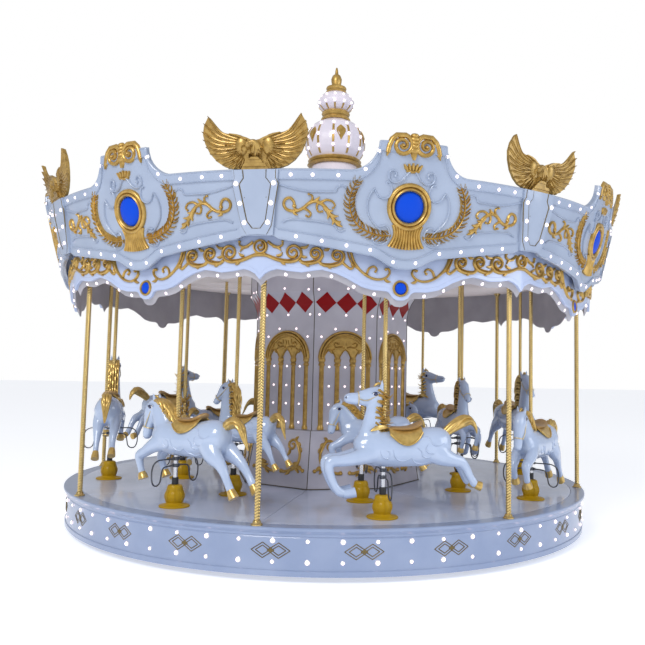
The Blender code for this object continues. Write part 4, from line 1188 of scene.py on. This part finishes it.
def board_gold(materials):
    """Gold medallion, wreath, scrolls and crest of a board, with white embossed lines around them."""
    gold = Shape()
    white = Shape()
    for radius, width, rise in ((0.124, 0.013, 0.030), (0.152, 0.017, 0.026)):
        gold.stroke(circle(radius, 44, MEDALLION), width, rise, on_board, 6, loop=True)
    # Fan under the medallion
    flutes = 11
    for k in range(flutes):
        side = 2 * k / (flutes - 1) - 1
        path = [(side * reach, z + 0.012 * side * side * lift)
                for reach, z, lift in ((0.112, 2.600, 1.0), (0.096, 2.560, 0.6), (0.098, 2.520, 0.4),
                                       (0.116, 2.478, 0.6), (0.136, 2.440, 1.4))]
        gold.stroke(smooth_path(path, 3), 0.0125, 0.018, on_board, 4)
    for sign in (1, -1):
        place = swept(sign, on_board)
        frond(gold, LAUREL, 21, 0.062, 0.0088, 0.015, place)
        for points in (CROWN_SWIRL, FAN_CURL):
            scroll(white, points, 0.0085, 0.008, 0.015, place)
        scroll(white, WING_LINE, 0.0085, 0.006, 0.014, place, knob=0)
        scroll(white, WING_EDGE, 0.006, 0.0085, 0.014, place, knob=0)
        for line in PANEL_LINES:
            white.stroke(smooth_path(line, 3), 0.0075, 0.011, place)
        # Acanthus scroll at the side
        scroll(gold, SIDE_STEM, 0.011, 0.014, 0.017, place, 0)
        gold.dome(*SIDE_STEM[0], 0.016, 0.021, place)
        for stem in SIDE_SHOOTS:
            scroll(gold, stem, 0.011, 0.006, 0.015, place)
        for start, end, width, bow in SIDE_LEAVES:
            leaf(gold, start, end, width, 0.017, place, bow, 0.2)
        # Volute of the crest, in one band with its leg
        band = list(CREST_LEG) + curl((0.086, 3.165), 0.078, 0.25, 1.75, 0.14, 36)[1:]
        gold.stroke(band, taper(0.021, 0.012), taper(0.022, 0.034), place, 5)
        gold.dome(0.086, 3.165, 0.015, 0.042, place)
        leaf(gold, (0.172, 3.165), (0.196, 3.080), 0.018, 0.020, place)
    # Small crown over the medallion
    gold.stroke([(-0.048, 2.992), (0.0, 2.984), (0.048, 2.992)], 0.012, 0.016, on_board)
    for k in range(5):
        side = (k - 2) / 2
        leaf(gold, (side * 0.040, 2.995), (side * 0.066, 3.045 - 0.012 * abs(side)), 0.015, 0.018, on_board, 0, 0.5)
    # Finial and drop leaf of the crest
    for z, wide, high, rise in ((3.135, 0.042, 0.030, 0.030), (3.165, 0.032, 0.020, 0.036), (3.190, 0.036, 0.018, 0.038),
                                (3.215, 0.040, 0.020, 0.036), (3.240, 0.030, 0.018, 0.030)):
        gold.dome(0.0, z, wide, rise, on_board, 14, 4, high / wide)
    for side in (-1, 0, 1):
        leaf(gold, (side * 0.030, 3.150), (side * 0.006, 3.064), 0.030 if side == 0 else 0.020, 0.022, on_board,
             -0.12 * side)
    mesh = gold.mesh("board_gold", materials["gold_paint"], 50)
    relief_mesh = white.mesh("board_relief", materials["shell_white"], 50)
    gem = Shape()
    gem.dome(*MEDALLION, GEM_RADIUS, 0.030, on_board, 36, 6)
    gem_mesh = gem.mesh("board_gem", materials["blue_gem"], 60)
    for k in range(SIDES):
        turn = Matrix.Rotation(k * SECTOR, 4, "Z")
        add(f"board_gold_{k + 1}", mesh, "turntable", turn)
        add(f"board_gem_{k + 1}", gem_mesh, "turntable", turn)
        add(f"board_relief_{k + 1}", relief_mesh, "turntable", turn)


PILASTER_MIDDLE = 1.119
PILASTER_FRAME = ((0.150, 2.972), (0.147, 2.917), (0.165, 2.875), (0.112, 2.585), (0.075, 2.520))
PILASTER_LINE = ((0.088, 2.972), (0.085, 2.915), (0.119, 2.872), (0.072, 2.615), (0.032, 2.562))


def on_pilaster(u, z, rise):
    return on_board(PILASTER_MIDDLE + u, z, PILASTER_DEPTH + rise)


def pilaster_trim(materials):
    """Raised white frame of a pilaster with a fine outline round its sunk panel."""
    frame = Shape()
    line = Shape()
    for sign in (1, -1):
        place = swept(sign, on_pilaster)
        # The band between the outer and the inner outline stands proud
        rings = []
        for (outer, z), (inner, inner_z) in zip(PILASTER_FRAME, PILASTER_LINE):
            ring = [place(outer, z, -0.006), place(outer, z, 0.007), place(outer - 0.004, z, 0.011),
                    place(inner + 0.004, inner_z, 0.011), place(inner, inner_z, 0.007), place(inner, inner_z, -0.006)]
            rings.append(ring)
        rings.append([place(0.0, z, rise) for z, rise in ((2.520, -0.006), (2.520, 0.007), (2.524, 0.011),
                                                          (2.558, 0.011), (2.562, 0.007), (2.562, -0.006))])
        frame.skin(rings)
        line.stroke([(u - 0.003, z) for u, z in PILASTER_LINE] + [(0.0, 2.562)], 0.0052, 0.008, place)
        line.stroke([(u + 0.001, z) for u, z in PILASTER_FRAME], 0.0040, 0.004, place)
        line.dome(sign * 0.080, 2.78, 0.0045, 0.006, on_pilaster, 8, 2)
    mesh = frame.mesh("pilaster_frame", materials["shell_white"], 30)
    line_mesh = line.mesh("pilaster_line", materials["outline_gold"], 50)
    for k in range(SIDES):
        turn = Matrix.Rotation(k * SECTOR, 4, "Z")
        add(f"pilaster_frame_{k + 1}", mesh, "turntable", turn)
        add(f"pilaster_line_{k + 1}", line_mesh, "turntable", turn)


# Right half of an eagle on a pilaster, as (outward, up) from the middle of its foot
EAGLE_FOOT = 2.975
EAGLE_LEAN = 0.2
EAGLE_OUTLINE = ((0.0, 0.0), (0.165, 0.004), (0.235, 0.024), (0.290, 0.060), (0.340, 0.115), (0.375, 0.185),
                 (0.390, 0.250), (0.380, 0.312), (0.346, 0.372), (0.334, 0.338), (0.308, 0.302), (0.270, 0.276),
                 (0.220, 0.256), (0.160, 0.244), (0.110, 0.238), (0.060, 0.222), (0.030, 0.208), (0.0, 0.203))
LONG_FEATHERS = ((0.347, 0.374), (0.380, 0.325), (0.394, 0.268), (0.388, 0.212), (0.368, 0.160), (0.338, 0.112),
                 (0.296, 0.066), (0.248, 0.032), (0.205, 0.010), (0.160, 0.002))


def on_eagle(u, z, rise):
    radius = BOARD_CORNER_RADIUS + BOARD_LEAN * 0.75 * (EAGLE_FOOT - BOARD_REFERENCE_HEIGHT) - 0.01
    return Vector((u, -radius - EAGLE_LEAN * z - rise, EAGLE_FOOT + z))


def eagle(materials):
    """Gold eagle with raised wings: long feathers, coverts, a hooked beak and a stepped foot."""
    gold = Shape()
    outline = list(EAGLE_OUTLINE) + [(-u, z) for u, z in reversed(EAGLE_OUTLINE[1:-1])]
    gold.slab(outline, on_eagle, -0.016, 0.006)
    for sign in (1, -1):
        place = swept(sign, on_eagle)
        count = len(LONG_FEATHERS)
        for k, tip in enumerate(LONG_FEATHERS):
            t = k / (count - 1)
            root = (0.125 - 0.040 * t, 0.205 - 0.130 * t)
            sag = 0.035 * (1 - t) ** 1.2
            middle = ((root[0] + tip[0]) / 2 + 0.5 * sag, (root[1] + tip[1]) / 2 - sag)
            path = smooth_path([root, middle, tip], 6)
            gold.stroke(path, lambda s: 0.0175 * max(0.14, math.sin(math.pi * (0.20 + 0.80 * s)) ** 0.5), 0.016, place)
            gold.stroke(path, taper(0.005, 0.0035), 0.023, place)
        # Short feathers over the roots of the lower long ones
        for k in range(6):
            t = k / 5
            root = (0.120 - 0.030 * t, 0.160 - 0.085 * t)
            reach = 0.105 - 0.030 * t
            aim = math.radians(5 - 72 * t)
            end = (root[0] + reach * math.cos(aim), root[1] + reach * math.sin(aim))
            leaf(gold, root, end, 0.014, 0.020, place, -0.08, 0.35)
            gold.stroke([root, end], 0.0035, 0.027, place)
        # Smooth shoulder
        gold.dome(0.102, 0.160, 0.052, 0.030, place, 16, 4, 1.35)
        leaf(gold, (0.062, 0.205), (0.190, 0.248), 0.013, 0.024, place, 0.06, 0.5)
        # Talons on the foot
        for k in range(3):
            leaf(gold, (0.020 + 0.010 * k, 0.105), (0.012 + 0.014 * k, 0.072), 0.006, 0.040, place)
    # Breast, neck, head and beak
    gold.dome(0.008, 0.130, 0.048, 0.034, on_eagle, 16, 5, 1.2)
    neck = [(0.030, 0.130), (0.012, 0.165), (-0.012, 0.182), (-0.044, 0.172)]
    gold.stroke(smooth_path(neck, 4), taper(0.036, 0.024), taper(0.040, 0.044), on_eagle, 6)
    gold.dome(-0.048, 0.166, 0.030, 0.050, on_eagle, 14, 5)
    scroll(gold, [(-0.060, 0.168), (-0.084, 0.158), (-0.095, 0.140), (-0.090, 0.120)], 0.013, 0.004, 0.044, on_eagle,
           knob=0)
    gold.dome(-0.052, 0.172, 0.008, 0.056, on_eagle, 8, 2)
    for k in range(3):
        leaf(gold, (0.026 - 0.014 * k, 0.170), (0.048 - 0.026 * k, 0.112 - 0.006 * k), 0.010, 0.044, on_eagle)
    # Stepped foot
    for half, low, high, rise in ((0.105, -0.012, 0.012, 0.030), (0.090, 0.012, 0.034, 0.042), (0.060, 0.034, 0.060, 0.032),
                                  (0.042, 0.060, 0.078, 0.038)):
        outline = [(-half, low), (half, low), (half - 0.014, high), (-half + 0.014, high)]
        gold.slab(outline, on_eagle, -0.016, rise)
    mesh = gold.mesh("eagle", materials["eagle_gold"], 50)
    for k in range(SIDES):
        add(f"eagle_{k + 1}", mesh, "turntable", Matrix.Rotation((k + 0.5) * SECTOR, 4, "Z"))


SMALL_GEM = (0.0, 2.162)
VALANCE_SCROLLS = (
    # Stem from the corner into the first spiral
    (((1.056, 2.380), (1.01, 2.376), (0.96, 2.356), (0.90, 2.336), (0.83, 2.330), (0.775, 2.350), (0.754, 2.392)),
     (0.815, 2.400), 0.060, 0.52, -1.45),
    (((0.765, 2.345), (0.735, 2.322), (0.68, 2.322), (0.625, 2.342), (0.600, 2.380)), (0.650, 2.395), 0.050, 0.52, -1.40),
    (((0.625, 2.338), (0.590, 2.312), (0.52, 2.308), (0.460, 2.332), (0.440, 2.372)), (0.490, 2.385), 0.050, 0.52, -1.40),
)


def valance_gold(materials):
    """Running scrollwork of the valance with small blue gems."""
    gold = Shape()
    for sign in (1, -1):
        place = swept(sign, on_valance)
        for stem, centre, radius, start, turns in VALANCE_SCROLLS:
            path = list(smooth_path(stem, 3)) + curl(centre, radius, start, turns, 0.22, 28)
            scroll(gold, path, 0.013, 0.009, 0.018, place, 1.5, 1)
            inner = [(u + 0.012, z + 0.016) for u, z in smooth_path(stem, 3)[3:-2]]
            gold.stroke(inner, swell(0.006), 0.012, place)
        # Leaves between the spirals
        scroll(gold, [(1.000, 2.478), (0.965, 2.452), (0.925, 2.440), (0.895, 2.455), (0.893, 2.480)], 0.012, 0.007, 0.016,
               place)
        for start, end, bow in (((0.965, 2.440), (0.900, 2.405), -0.2), ((0.935, 2.375), (0.890, 2.400), 0.2),
                                ((0.760, 2.440), (0.700, 2.462), 0.2), ((0.590, 2.425), (0.545, 2.450), 0.2),
                                ((0.720, 2.330), (0.690, 2.300), 0.2), ((0.555, 2.318), (0.530, 2.288), 0.2),
                                ((0.90, 2.338), (0.865, 2.308), 0.1), ((0.755, 2.375), (0.710, 2.370), 0.1)):
            leaf(gold, start, end, 0.013, 0.015, place, bow)
        # Tail and the large arc over the gem
        scroll(gold, [(0.455, 2.340), (0.425, 2.315), (0.392, 2.292), (0.372, 2.302), (0.378, 2.322)], 0.012, 0.008, 0.016,
               place)
        arc = [(0.400, 2.480), (0.385, 2.400), (0.355, 2.330), (0.300, 2.270), (0.235, 2.232), (0.170, 2.222),
               (0.115, 2.240), (0.088, 2.275), (0.098, 2.305), (0.120, 2.300)]
        scroll(gold, arc, 0.012, 0.008, 0.018, place)
        gold.stroke(smooth_path([(0.425, 2.460), (0.410, 2.400), (0.380, 2.335), (0.320, 2.285), (0.255, 2.252)], 4),
                    swell(0.008), 0.014, place)
        scroll(gold, [(0.265, 2.262), (0.250, 2.300), (0.215, 2.318), (0.190, 2.300), (0.200, 2.280)], 0.010, 0.007, 0.015,
               place)
        leaf(gold, (0.130, 2.232), (0.078, 2.208), 0.013, 0.015, place, 0.15)
    gold.stroke(circle(0.054, 32, SMALL_GEM), 0.009, 0.014, on_valance, 5, loop=True)
    rosette = Shape()

    # Rosette at the corner: a spiral in a ring, built flat across the corner's edge
    def on_corner(u, z, rise):
        radius = VALANCE_CORNER_RADIUS - 0.006
        return Matrix.Rotation(HALF, 3, "Z") @ Vector((u, -radius - rise, z))

    rosette.stroke(circle(0.048, 28, (0.0, 2.440)), 0.010, 0.022, on_corner, 5, loop=True)
    scroll(rosette, curl((0.0, 2.440), 0.034, 0.2, -1.0, 0.3, 18), 0.009, 0.007, 0.022, on_corner, 1.6, 1)
    for side in (-1, 1):
        leaf(rosette, (side * 0.020, 2.395), (side * 0.055, 2.372), 0.012, 0.018, on_corner)
    gem = Shape()
    gem.dome(*SMALL_GEM, 0.045, 0.016, on_valance, 28, 5)
    seam = Shape()
    seam.stroke([(0.0, 2.20), (0.0, 2.375)], 0.003, 0.002, on_corner)
    meshes = (("valance_gold", gold.mesh("valance_gold", materials["gold_paint"], 50), "antique_gold"),
              ("valance_rosette", rosette.mesh("valance_rosette", materials["gold_paint"], 50), "antique_gold"),
              ("valance_gem", gem.mesh("valance_gem", materials["blue_gem"], 60), "white_gloss"),
              ("valance_seam", seam.mesh("valance_seam", materials["dark_line"], 60), "dark_steel"))
    for k in range(SIDES):
        turn = Matrix.Rotation(k * SECTOR, 4, "Z")
        for name, mesh, slot in meshes:
            add(f"{name}_{k + 1}", mesh, "turntable", turn)


PLINTH_APOTHEM = (0.905, 0.808)
PLINTH_TOP = 0.951
DRUM_APOTHEM = ((0.951, 0.771), (2.10, 0.771), (2.18, 0.782), (2.26, 0.813), (2.31, 0.844), (2.60, 0.844))


def on_column(u, z, rise):
    """Point on the flat front face of the plinth or the drum."""
    if z < PLINTH_TOP:
        t = (z - DECK_TOP) / (PLINTH_TOP - DECK_TOP)
        apothem = PLINTH_APOTHEM[0] + (PLINTH_APOTHEM[1] - PLINTH_APOTHEM[0]) * t
    else:
        apothem = along_edge(DRUM_APOTHEM, z)
    return Vector((u, -apothem - rise, z))


ARCH_MIDDLE = 1.63
COLUMN_PLACES = (-0.235, -0.078, 0.078, 0.235)


def column_trim(materials):
    """Gold arcades, acanthus scrolls, dark-red diamonds and seams of the column, one set for each face."""
    gold = Shape()
    for u in COLUMN_PLACES:
        shaft = [(0.955, 0.034), (0.978, 0.034), (0.990, 0.028), (1.005, 0.026), (1.575, 0.024), (1.582, 0.033),
                 (1.598, 0.033), (1.606, 0.025), (1.616, 0.032), (1.632, 0.036), (1.645, 0.036), (1.652, 0.030),
                 (1.665, 0.030)]
        rings = []
        for z, half in shaft:
            rings.append([on_column(u + half * math.cos(math.pi * j / 8), z, half * 0.9 * math.sin(math.pi * j / 8) - 0.004)
                          for j in range(9)])
        gold.skin(rings)
        for side in (-1, 1):
            gold.stroke([(u + side * 0.008, 1.005), (u + side * 0.008, 1.570)], 0.0028, 0.0225, on_column)
    # Double moulding of the arch
    for radius, width, rise in ((0.262, 0.013, 0.026), (0.238, 0.011, 0.030), (0.214, 0.009, 0.024)):
        path = [(radius * math.cos(math.pi * i / 28), ARCH_MIDDLE + 0.02 + radius * 1.02 * math.sin(math.pi * i / 28))
                for i in range(29)]
        gold.stroke(path, width, rise, on_column, 5)
    # Tympanum with three pointed openings cut from its lower edge
    outline = []
    for i in range(29):
        turn = math.pi * i / 28
        outline.append((0.235 * math.cos(turn), ARCH_MIDDLE + 0.02 + 0.24 * math.sin(turn)))
    points = []
    for left, right in zip(COLUMN_PLACES, COLUMN_PLACES[1:]):
        for i in range(9):
            t = i / 8
            across = left + 0.014 + (right - left - 0.028) * t
            points.append((across, 1.650 + 0.085 * (1 - abs(2 * t - 1) ** 1.8)))
    gold.slab(outline + points, on_column, -0.003, 0.012)
    for left, right in zip(COLUMN_PLACES, COLUMN_PLACES[1:]):
        path = [(left + 0.012 + (right - left - 0.024) * i / 10, 1.648 + 0.092 * (1 - abs(2 * i / 10 - 1) ** 1.8))
                for i in range(11)]
        gold.stroke(path, 0.009, 0.022, on_column)
    # Relief leaves in the tympanum
    for sign in (1, -1):
        place = swept(sign, on_column)
        scroll(gold, [(0.012, 1.755), (0.050, 1.770), (0.090, 1.762), (0.115, 1.785), (0.100, 1.812), (0.078, 1.800)],
               0.012, 0.008, 0.024, place)
        scroll(gold, [(0.110, 1.750), (0.150, 1.730), (0.185, 1.735), (0.190, 1.760), (0.170, 1.765)], 0.010, 0.007, 0.022,
               place)
        for start, end in (((0.030, 1.770), (0.015, 1.830)), ((0.060, 1.790), (0.055, 1.840)), ((0.125, 1.790), (0.150, 1.800)),
                           ((0.030, 1.755), (0.060, 1.735)), ((0.150, 1.745), (0.130, 1.700))):
            leaf(gold, start, end, 0.014, 0.022, place, 0.15)
    # Acanthus scrolls on the plinth
    for sign in (1, -1):
        place = swept(sign, on_column)
        spiral = curl((0.145, 0.800), 0.058, 0.08, 1.25, 0.20, 24)[::-1]
        stem = [(0.232, 0.760), (0.245, 0.705), (0.238, 0.650), (0.215, 0.605), (0.180, 0.575), (0.130, 0.560),
                (0.080, 0.545), (0.045, 0.550)]
        scroll(gold, smooth_path(spiral, 1) + stem, 0.012, 0.016, 0.018, place, 1.3, 2)
        for start, end, width in (((0.175, 0.850), (0.205, 0.885), 0.020), ((0.120, 0.760), (0.100, 0.700), 0.018),
                                  ((0.230, 0.640), (0.150, 0.625), 0.026), ((0.215, 0.610), (0.120, 0.600), 0.022),
                                  ((0.225, 0.600), (0.290, 0.570), 0.024), ((0.200, 0.585), (0.255, 0.545), 0.020),
                                  ((0.150, 0.570), (0.100, 0.520), 0.018), ((0.230, 0.790), (0.262, 0.740), 0.012),
                                  ((0.210, 0.830), (0.235, 0.780), 0.018)):
            leaf(gold, start, end, width, 0.018, place, 0.12, 0.25)
        gold.dome(0.300, 0.570, 0.020, 0.018, place, 10, 3)
    red = Shape()
    for u in (-0.21, 0.0, 0.21):
        rings = []
        for i in range(17):
            z = 2.105 + 0.200 * i / 16
            half = max(0.001, 0.104 * (1 - abs(i / 8 - 1)))
            rings.append([on_column(u + side * half, z, rise) for side, rise in
                          ((-1, -0.003), (-1, 0.004), (1, 0.004), (1, -0.003))])
        red.skin(rings)
    line = Shape()
    line.stroke([(-0.335, PLINTH_TOP - 0.003), (0.335, PLINTH_TOP - 0.003)], 0.0025, 0.0018, on_column)
    meshes = (("column_gold", gold.mesh("column_gold", materials["gold_paint"], 45), "antique_gold"),
              ("column_red", red.mesh("column_red", materials["dark_red"], 30), "white_gloss"),
              ("column_line", line.mesh("column_line", materials["dark_line"], 30), "dark_steel"))
    for k in range(SIDES):
        turn = Matrix.Rotation(k * SECTOR, 4, "Z")
        for name, mesh, slot in meshes:
            add(f"{name}_{k + 1}", mesh, "turntable", turn)
    # Upright seams at the corners and the dark joint at the deck
    seam = Shape()
    corners = ((0.980, DECK_TOP + 0.002), (0.875, 0.951), (0.835, 0.952), (0.835, 2.10), (0.846, 2.18), (0.880, 2.26),
               (0.914, 2.31), (0.914, 2.565))
    seam.tube([polar(radius + 0.0005, HALF, z) for radius, z in corners], 0.0042, 6)
    foot = [polar(0.984, HALF + SECTOR * k, DECK_TOP + 0.004) for k in range(2)]
    seam.tube(foot, 0.006, 6)
    mesh = seam.mesh("column_seam", materials["dark_line"], 30)
    for k in range(SIDES):
        add(f"column_seam_{k + 1}", mesh, "turntable", Matrix.Rotation(k * SECTOR, 4, "Z"))


def skirt_trim(materials):
    """Outlined double diamonds round the skirt."""
    lines = Shape()
    for centre in (-0.060, 0.060):
        for scale in (1.0, 0.62):
            diamond = [(centre - 0.085 * scale, 0.230), (centre, 0.230 - 0.055 * scale), (centre + 0.085 * scale, 0.230),
                       (centre, 0.230 + 0.055 * scale)]
            path = []
            for (u0, z0), (u1, z1) in zip(diamond, diamond[1:] + diamond[:1]):
                path += [(u0 + (u1 - u0) * t, z0 + (z1 - z0) * t) for t in (0.0, 0.03, 0.5, 0.97)]
            lines.stroke(path, 0.0042, 0.0035, on_skirt, loop=True)
    small = [(-0.024, 0.230), (0.0, 0.214), (0.024, 0.230), (0.0, 0.246)]
    lines.slab(small, on_skirt, -0.002, 0.004)
    mesh = lines.mesh("skirt_diamond", materials["outline_gold"], 50)
    count = 24
    for k in range(count):
        turn = Matrix.Rotation(math.radians(2.5) + HALF + math.tau * k / count, 4, "Z")
        add(f"skirt_diamond_{k + 1}", mesh, "turntable", turn)


def on_crown(angle, z, rise):
    """Point on the ribbed body of the crown."""
    profile = CROWN_BODY if z < 4.36 else CROWN_BUD
    levels = [(height, radius) for radius, height in smooth_path(profile, 3)]
    radius = levels[-1][1]
    for (low, first), (high, second) in zip(levels, levels[1:]):
        if z <= high:
            radius = first + (second - first) * max(0.0, (z - low) / (high - low))
            break
    return polar(radius * (1 - 0.010 * math.cos(12 * angle)) + rise, angle, z)


def crown_trim(materials):
    """Gold dashes on the ribs, kite plaques between them, and bulbs."""
    gold = Shape()
    bulbs = Shape()
    for k in range(12):
        rib = math.tau * (k + 0.5) / 12
        for low, high in ((3.885, 3.935), (3.985, 4.065), (4.115, 4.195)):
            path = [(rib, low + (high - low) * i / 4) for i in range(5)]
            rings = [[on_crown(angle + side * 0.011 / 0.3, z, rise) for side, rise in ((-1, -0.003), (-1, 0.004),
                                                                                       (1, 0.004), (1, -0.003))]
                     for angle, z in path]
            gold.skin(rings)
        for z in (3.960, 4.090, 4.222):
            bulbs.ball(on_crown(rib, z, 0.004), (0.015, 0.015, 0.015), 8, 5)
        for low, high in ((4.425, 4.470),):
            rings = [[on_crown(rib + side * 0.010 / 0.18, low + (high - low) * i / 4, rise) for side, rise in
                      ((-1, -0.003), (-1, 0.004), (1, 0.004), (1, -0.003))] for i in range(5)]
            gold.skin(rings)
        bulbs.ball(on_crown(rib, 4.495, 0.004), (0.013, 0.013, 0.013), 8, 5)
        bulbs.ball(on_crown(rib, 4.575, 0.004), (0.012, 0.012, 0.012), 8, 5)
        if k % 2 == 0:
            middle = math.tau * k / 12
            outline = []
            for t, half in ((-0.100, 0.0), (-0.070, 0.014), (-0.035, 0.032), (0.0, 0.048), (0.030, 0.046), (0.055, 0.026),
                            (0.080, 0.0)):
                outline.append((t, half))
            loop = [(half, t) for t, half in outline] + [(-half, t) for t, half in outline[-2:0:-1]]
            for scale, rise in ((1.0, 0.005), (0.62, 0.010)):
                ring = [(on_crown(middle + half * scale / 0.31, 4.110 + t * scale, -0.004),
                         on_crown(middle + half * scale / 0.31, 4.110 + t * scale, rise)) for half, t in loop]
                gold.skin([[point[0] for point in ring], [point[1] for point in ring]])
    add("crown_gold", gold.mesh("crown_gold", materials["gold_paint"], 30), "turntable")
    add("crown_bulbs", bulbs.mesh("crown_bulbs", materials["bulb"], 60), "turntable")


def bulbs(materials):
    """Small lit bulbs in their holders, over every surface that carries them."""
    cap = Shape()
    ring = Shape()

    def bulb(u, z, place, size=0.0165):
        ring.dome(u, z, size * 1.35, 0.006, place, 8, 2)
        cap.dome(u, z, size, size * 1.05, place, 8, 3)

    for sign in (1, -1):
        place = swept(sign, on_board)
        for u in (0.09, 0.275, 0.455, 0.64, 0.83):
            bulb(u, board_foot(u) + 0.040, place)
        for u, z in ((0.25, 3.115), (0.34, 2.985), (0.53, 2.935), (0.71, 2.935), (0.865, 2.935)):
            bulb(u, z, place)
        for u, z in ((0.137, 2.878), (0.115, 2.740), (0.088, 2.605)):
            bulb(sign * u, z, lambda across, up, rise: on_pilaster(across, up, rise + 0.009))
        for u in (0.20, 0.36, 0.53, 0.70, 0.87):
            bulb(u, along_edge(VALANCE_EDGE, u) - LINING_DROP * 0.55, swept(sign, on_lining), 0.0125)
        for u in (0.16,):
            for z in (1.02, 1.20, 1.38, 1.57):
                bulb(u, z, swept(sign, on_column), 0.012)
        for u, z in ((0.245, 1.865), (0.105, 1.945), (0.27, 2.085), (0.295, 2.325)):
            bulb(u, z, swept(sign, on_column), 0.012)
    for z in (1.02, 1.20, 1.38, 1.57, 2.085, 2.345):
        bulb(0.0, z, on_column, 0.012)
    cap_mesh = cap.mesh("bulbs", materials["bulb"], 60)
    ring_mesh = ring.mesh("bulb_rings", materials["bulb_ring"], 60)
    for k in range(SIDES):
        turn = Matrix.Rotation(k * SECTOR, 4, "Z")
        add(f"bulbs_{k + 1}", cap_mesh, "turntable", turn)
        add(f"bulb_rings_{k + 1}", ring_mesh, "turntable", turn)
    cap = Shape()
    ring = Shape()
    step = SECTOR / 8
    for k in range(8):
        angle = (k + 0.5) * step
        bulb(angle * SKIRT_RADIUS, 0.150 if k % 2 else 0.300, on_skirt)
        bulb(angle * SKIRT_RADIUS, 0.300 if k % 2 else 0.150, on_skirt, 0.013)
    cap_mesh = cap.mesh("skirt_bulbs", materials["bulb"], 60)
    ring_mesh = ring.mesh("skirt_bulb_rings", materials["bulb_ring"], 60)
    for k in range(SIDES):
        turn = Matrix.Rotation(k * SECTOR, 4, "Z")
        add(f"skirt_bulbs_{k + 1}", cap_mesh, "turntable", turn)
        add(f"skirt_bulb_rings_{k + 1}", ring_mesh, "turntable", turn)


def base(materials, frame):
    """Steel ground frame, shown as it is packed with a painted finish."""
    piece = frame["nodes"]["base_frame"]
    piece.data.materials.clear()
    piece.data.materials.append(materials["base_steel"])


def stage_and_light():
    """Plain pale floor, white surroundings and soft lights."""
    mesh = bpy.data.meshes.new("floor_plane")
    size = 60.0
    mesh.from_pydata([(-size, -size, 0.0), (size, -size, 0.0), (size, size, 0.0), (-size, size, 0.0)], [],
                     [(0, 1, 2, 3)])
    mesh.materials.append(principled("floor_white", (0.84, 0.85, 0.87), 0.75, emission=0.56)[0])
    plane = bpy.data.objects.new("floor_plane", mesh)
    bpy.context.scene.collection.objects.link(plane)
    bpy.context.scene.view_settings.view_transform = "Standard"
    world = bpy.data.worlds.new("overcast")
    bpy.context.scene.world = world
    world.use_nodes = True
    tree = world.node_tree
    background = tree.nodes["Background"]
    background.inputs["Color"].default_value = (0.93, 0.95, 1.0, 1.0)
    background.inputs["Strength"].default_value = 0.52
    # The camera sees the surroundings as plain white
    plain = tree.nodes.new("ShaderNodeBackground")
    plain.inputs["Color"].default_value = (1.0, 1.0, 1.0, 1.0)
    plain.inputs["Strength"].default_value = 1.0
    rays = tree.nodes.new("ShaderNodeLightPath")
    mix = tree.nodes.new("ShaderNodeMixShader")
    tree.links.new(rays.outputs["Is Camera Ray"], mix.inputs["Fac"])
    tree.links.new(background.outputs["Background"], mix.inputs[1])
    tree.links.new(plain.outputs["Background"], mix.inputs[2])
    tree.links.new(mix.outputs["Shader"], tree.nodes["World Output"].inputs["Surface"])
    for name, place, energy, side, colour in (
            ("key", (-7.0, -10.0, 9.0), 900.0, 5.0, (1.0, 0.98, 0.95)),
            ("fill", (9.0, -8.0, 5.0), 350.0, 6.0, (0.90, 0.94, 1.0))):
        light = bpy.data.lights.new(name, "AREA")
        light.energy = energy
        light.size = side
        light.color = colour
        lamp = bpy.data.objects.new(name, light)
        lamp.location = place
        lamp.rotation_euler = (Vector((0.0, 0.0, 1.6)) - Vector(place)).to_track_quat("-Z", "Y").to_euler()
        bpy.context.scene.collection.objects.link(lamp)


# Camera fitted to the picture: distance and height in metres, angles in degrees
CAMERA_DISTANCE = 8.085
CAMERA_HEIGHT = 1.555
CAMERA_BEARING = -11.211
CAMERA_YAW = 1.7896
CAMERA_PITCH = 4.5537
CAMERA_ROLL = -1.2001
CAMERA_LENS = 41.18
CAMERA_SHIFT = (-0.0491, -0.0191)


def camera():
    bearing, yaw, pitch, roll = (math.radians(a) for a in (CAMERA_BEARING, CAMERA_YAW, CAMERA_PITCH, CAMERA_ROLL))
    forward = Vector((math.cos(pitch) * math.sin(yaw), math.cos(pitch) * math.cos(yaw), math.sin(pitch)))
    level = Vector((math.cos(yaw), -math.sin(yaw), 0.0))
    upright = Vector((-math.sin(pitch) * math.sin(yaw), -math.sin(pitch) * math.cos(yaw), math.cos(pitch)))
    right = level * math.cos(roll) - upright * math.sin(roll)
    up = level * math.sin(roll) + upright * math.cos(roll)
    turn = Matrix.Rotation(bearing, 3, "Z")
    axes = Matrix((turn @ right, turn @ up, -(turn @ forward))).transposed()
    data = bpy.data.cameras.new("camera")
    data.lens = CAMERA_LENS
    data.sensor_width = 36.0
    data.shift_x, data.shift_y = CAMERA_SHIFT
    result = bpy.data.objects.new("camera", data)
    place = Vector((CAMERA_DISTANCE * math.sin(bearing), -CAMERA_DISTANCE * math.cos(bearing), CAMERA_HEIGHT))
    result.matrix_world = Matrix.Translation(place) @ axes.to_4x4()
    bpy.context.scene.collection.objects.link(result)
    bpy.context.scene.camera = result


def main():
    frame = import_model()
    materials = make_materials()
    boards(materials)
    valance(materials)
    canopy(materials)
    deck(materials)
    roof(materials)
    crown(materials)
    column(materials)
    horses(materials)
    board_gold(materials)
    pilaster_trim(materials)
    eagle(materials)
    valance_gold(materials)
    column_trim(materials)
    skirt_trim(materials)
    crown_trim(materials)
    bulbs(materials)
    base(materials, frame)
    stage_and_light()
    camera()


main()
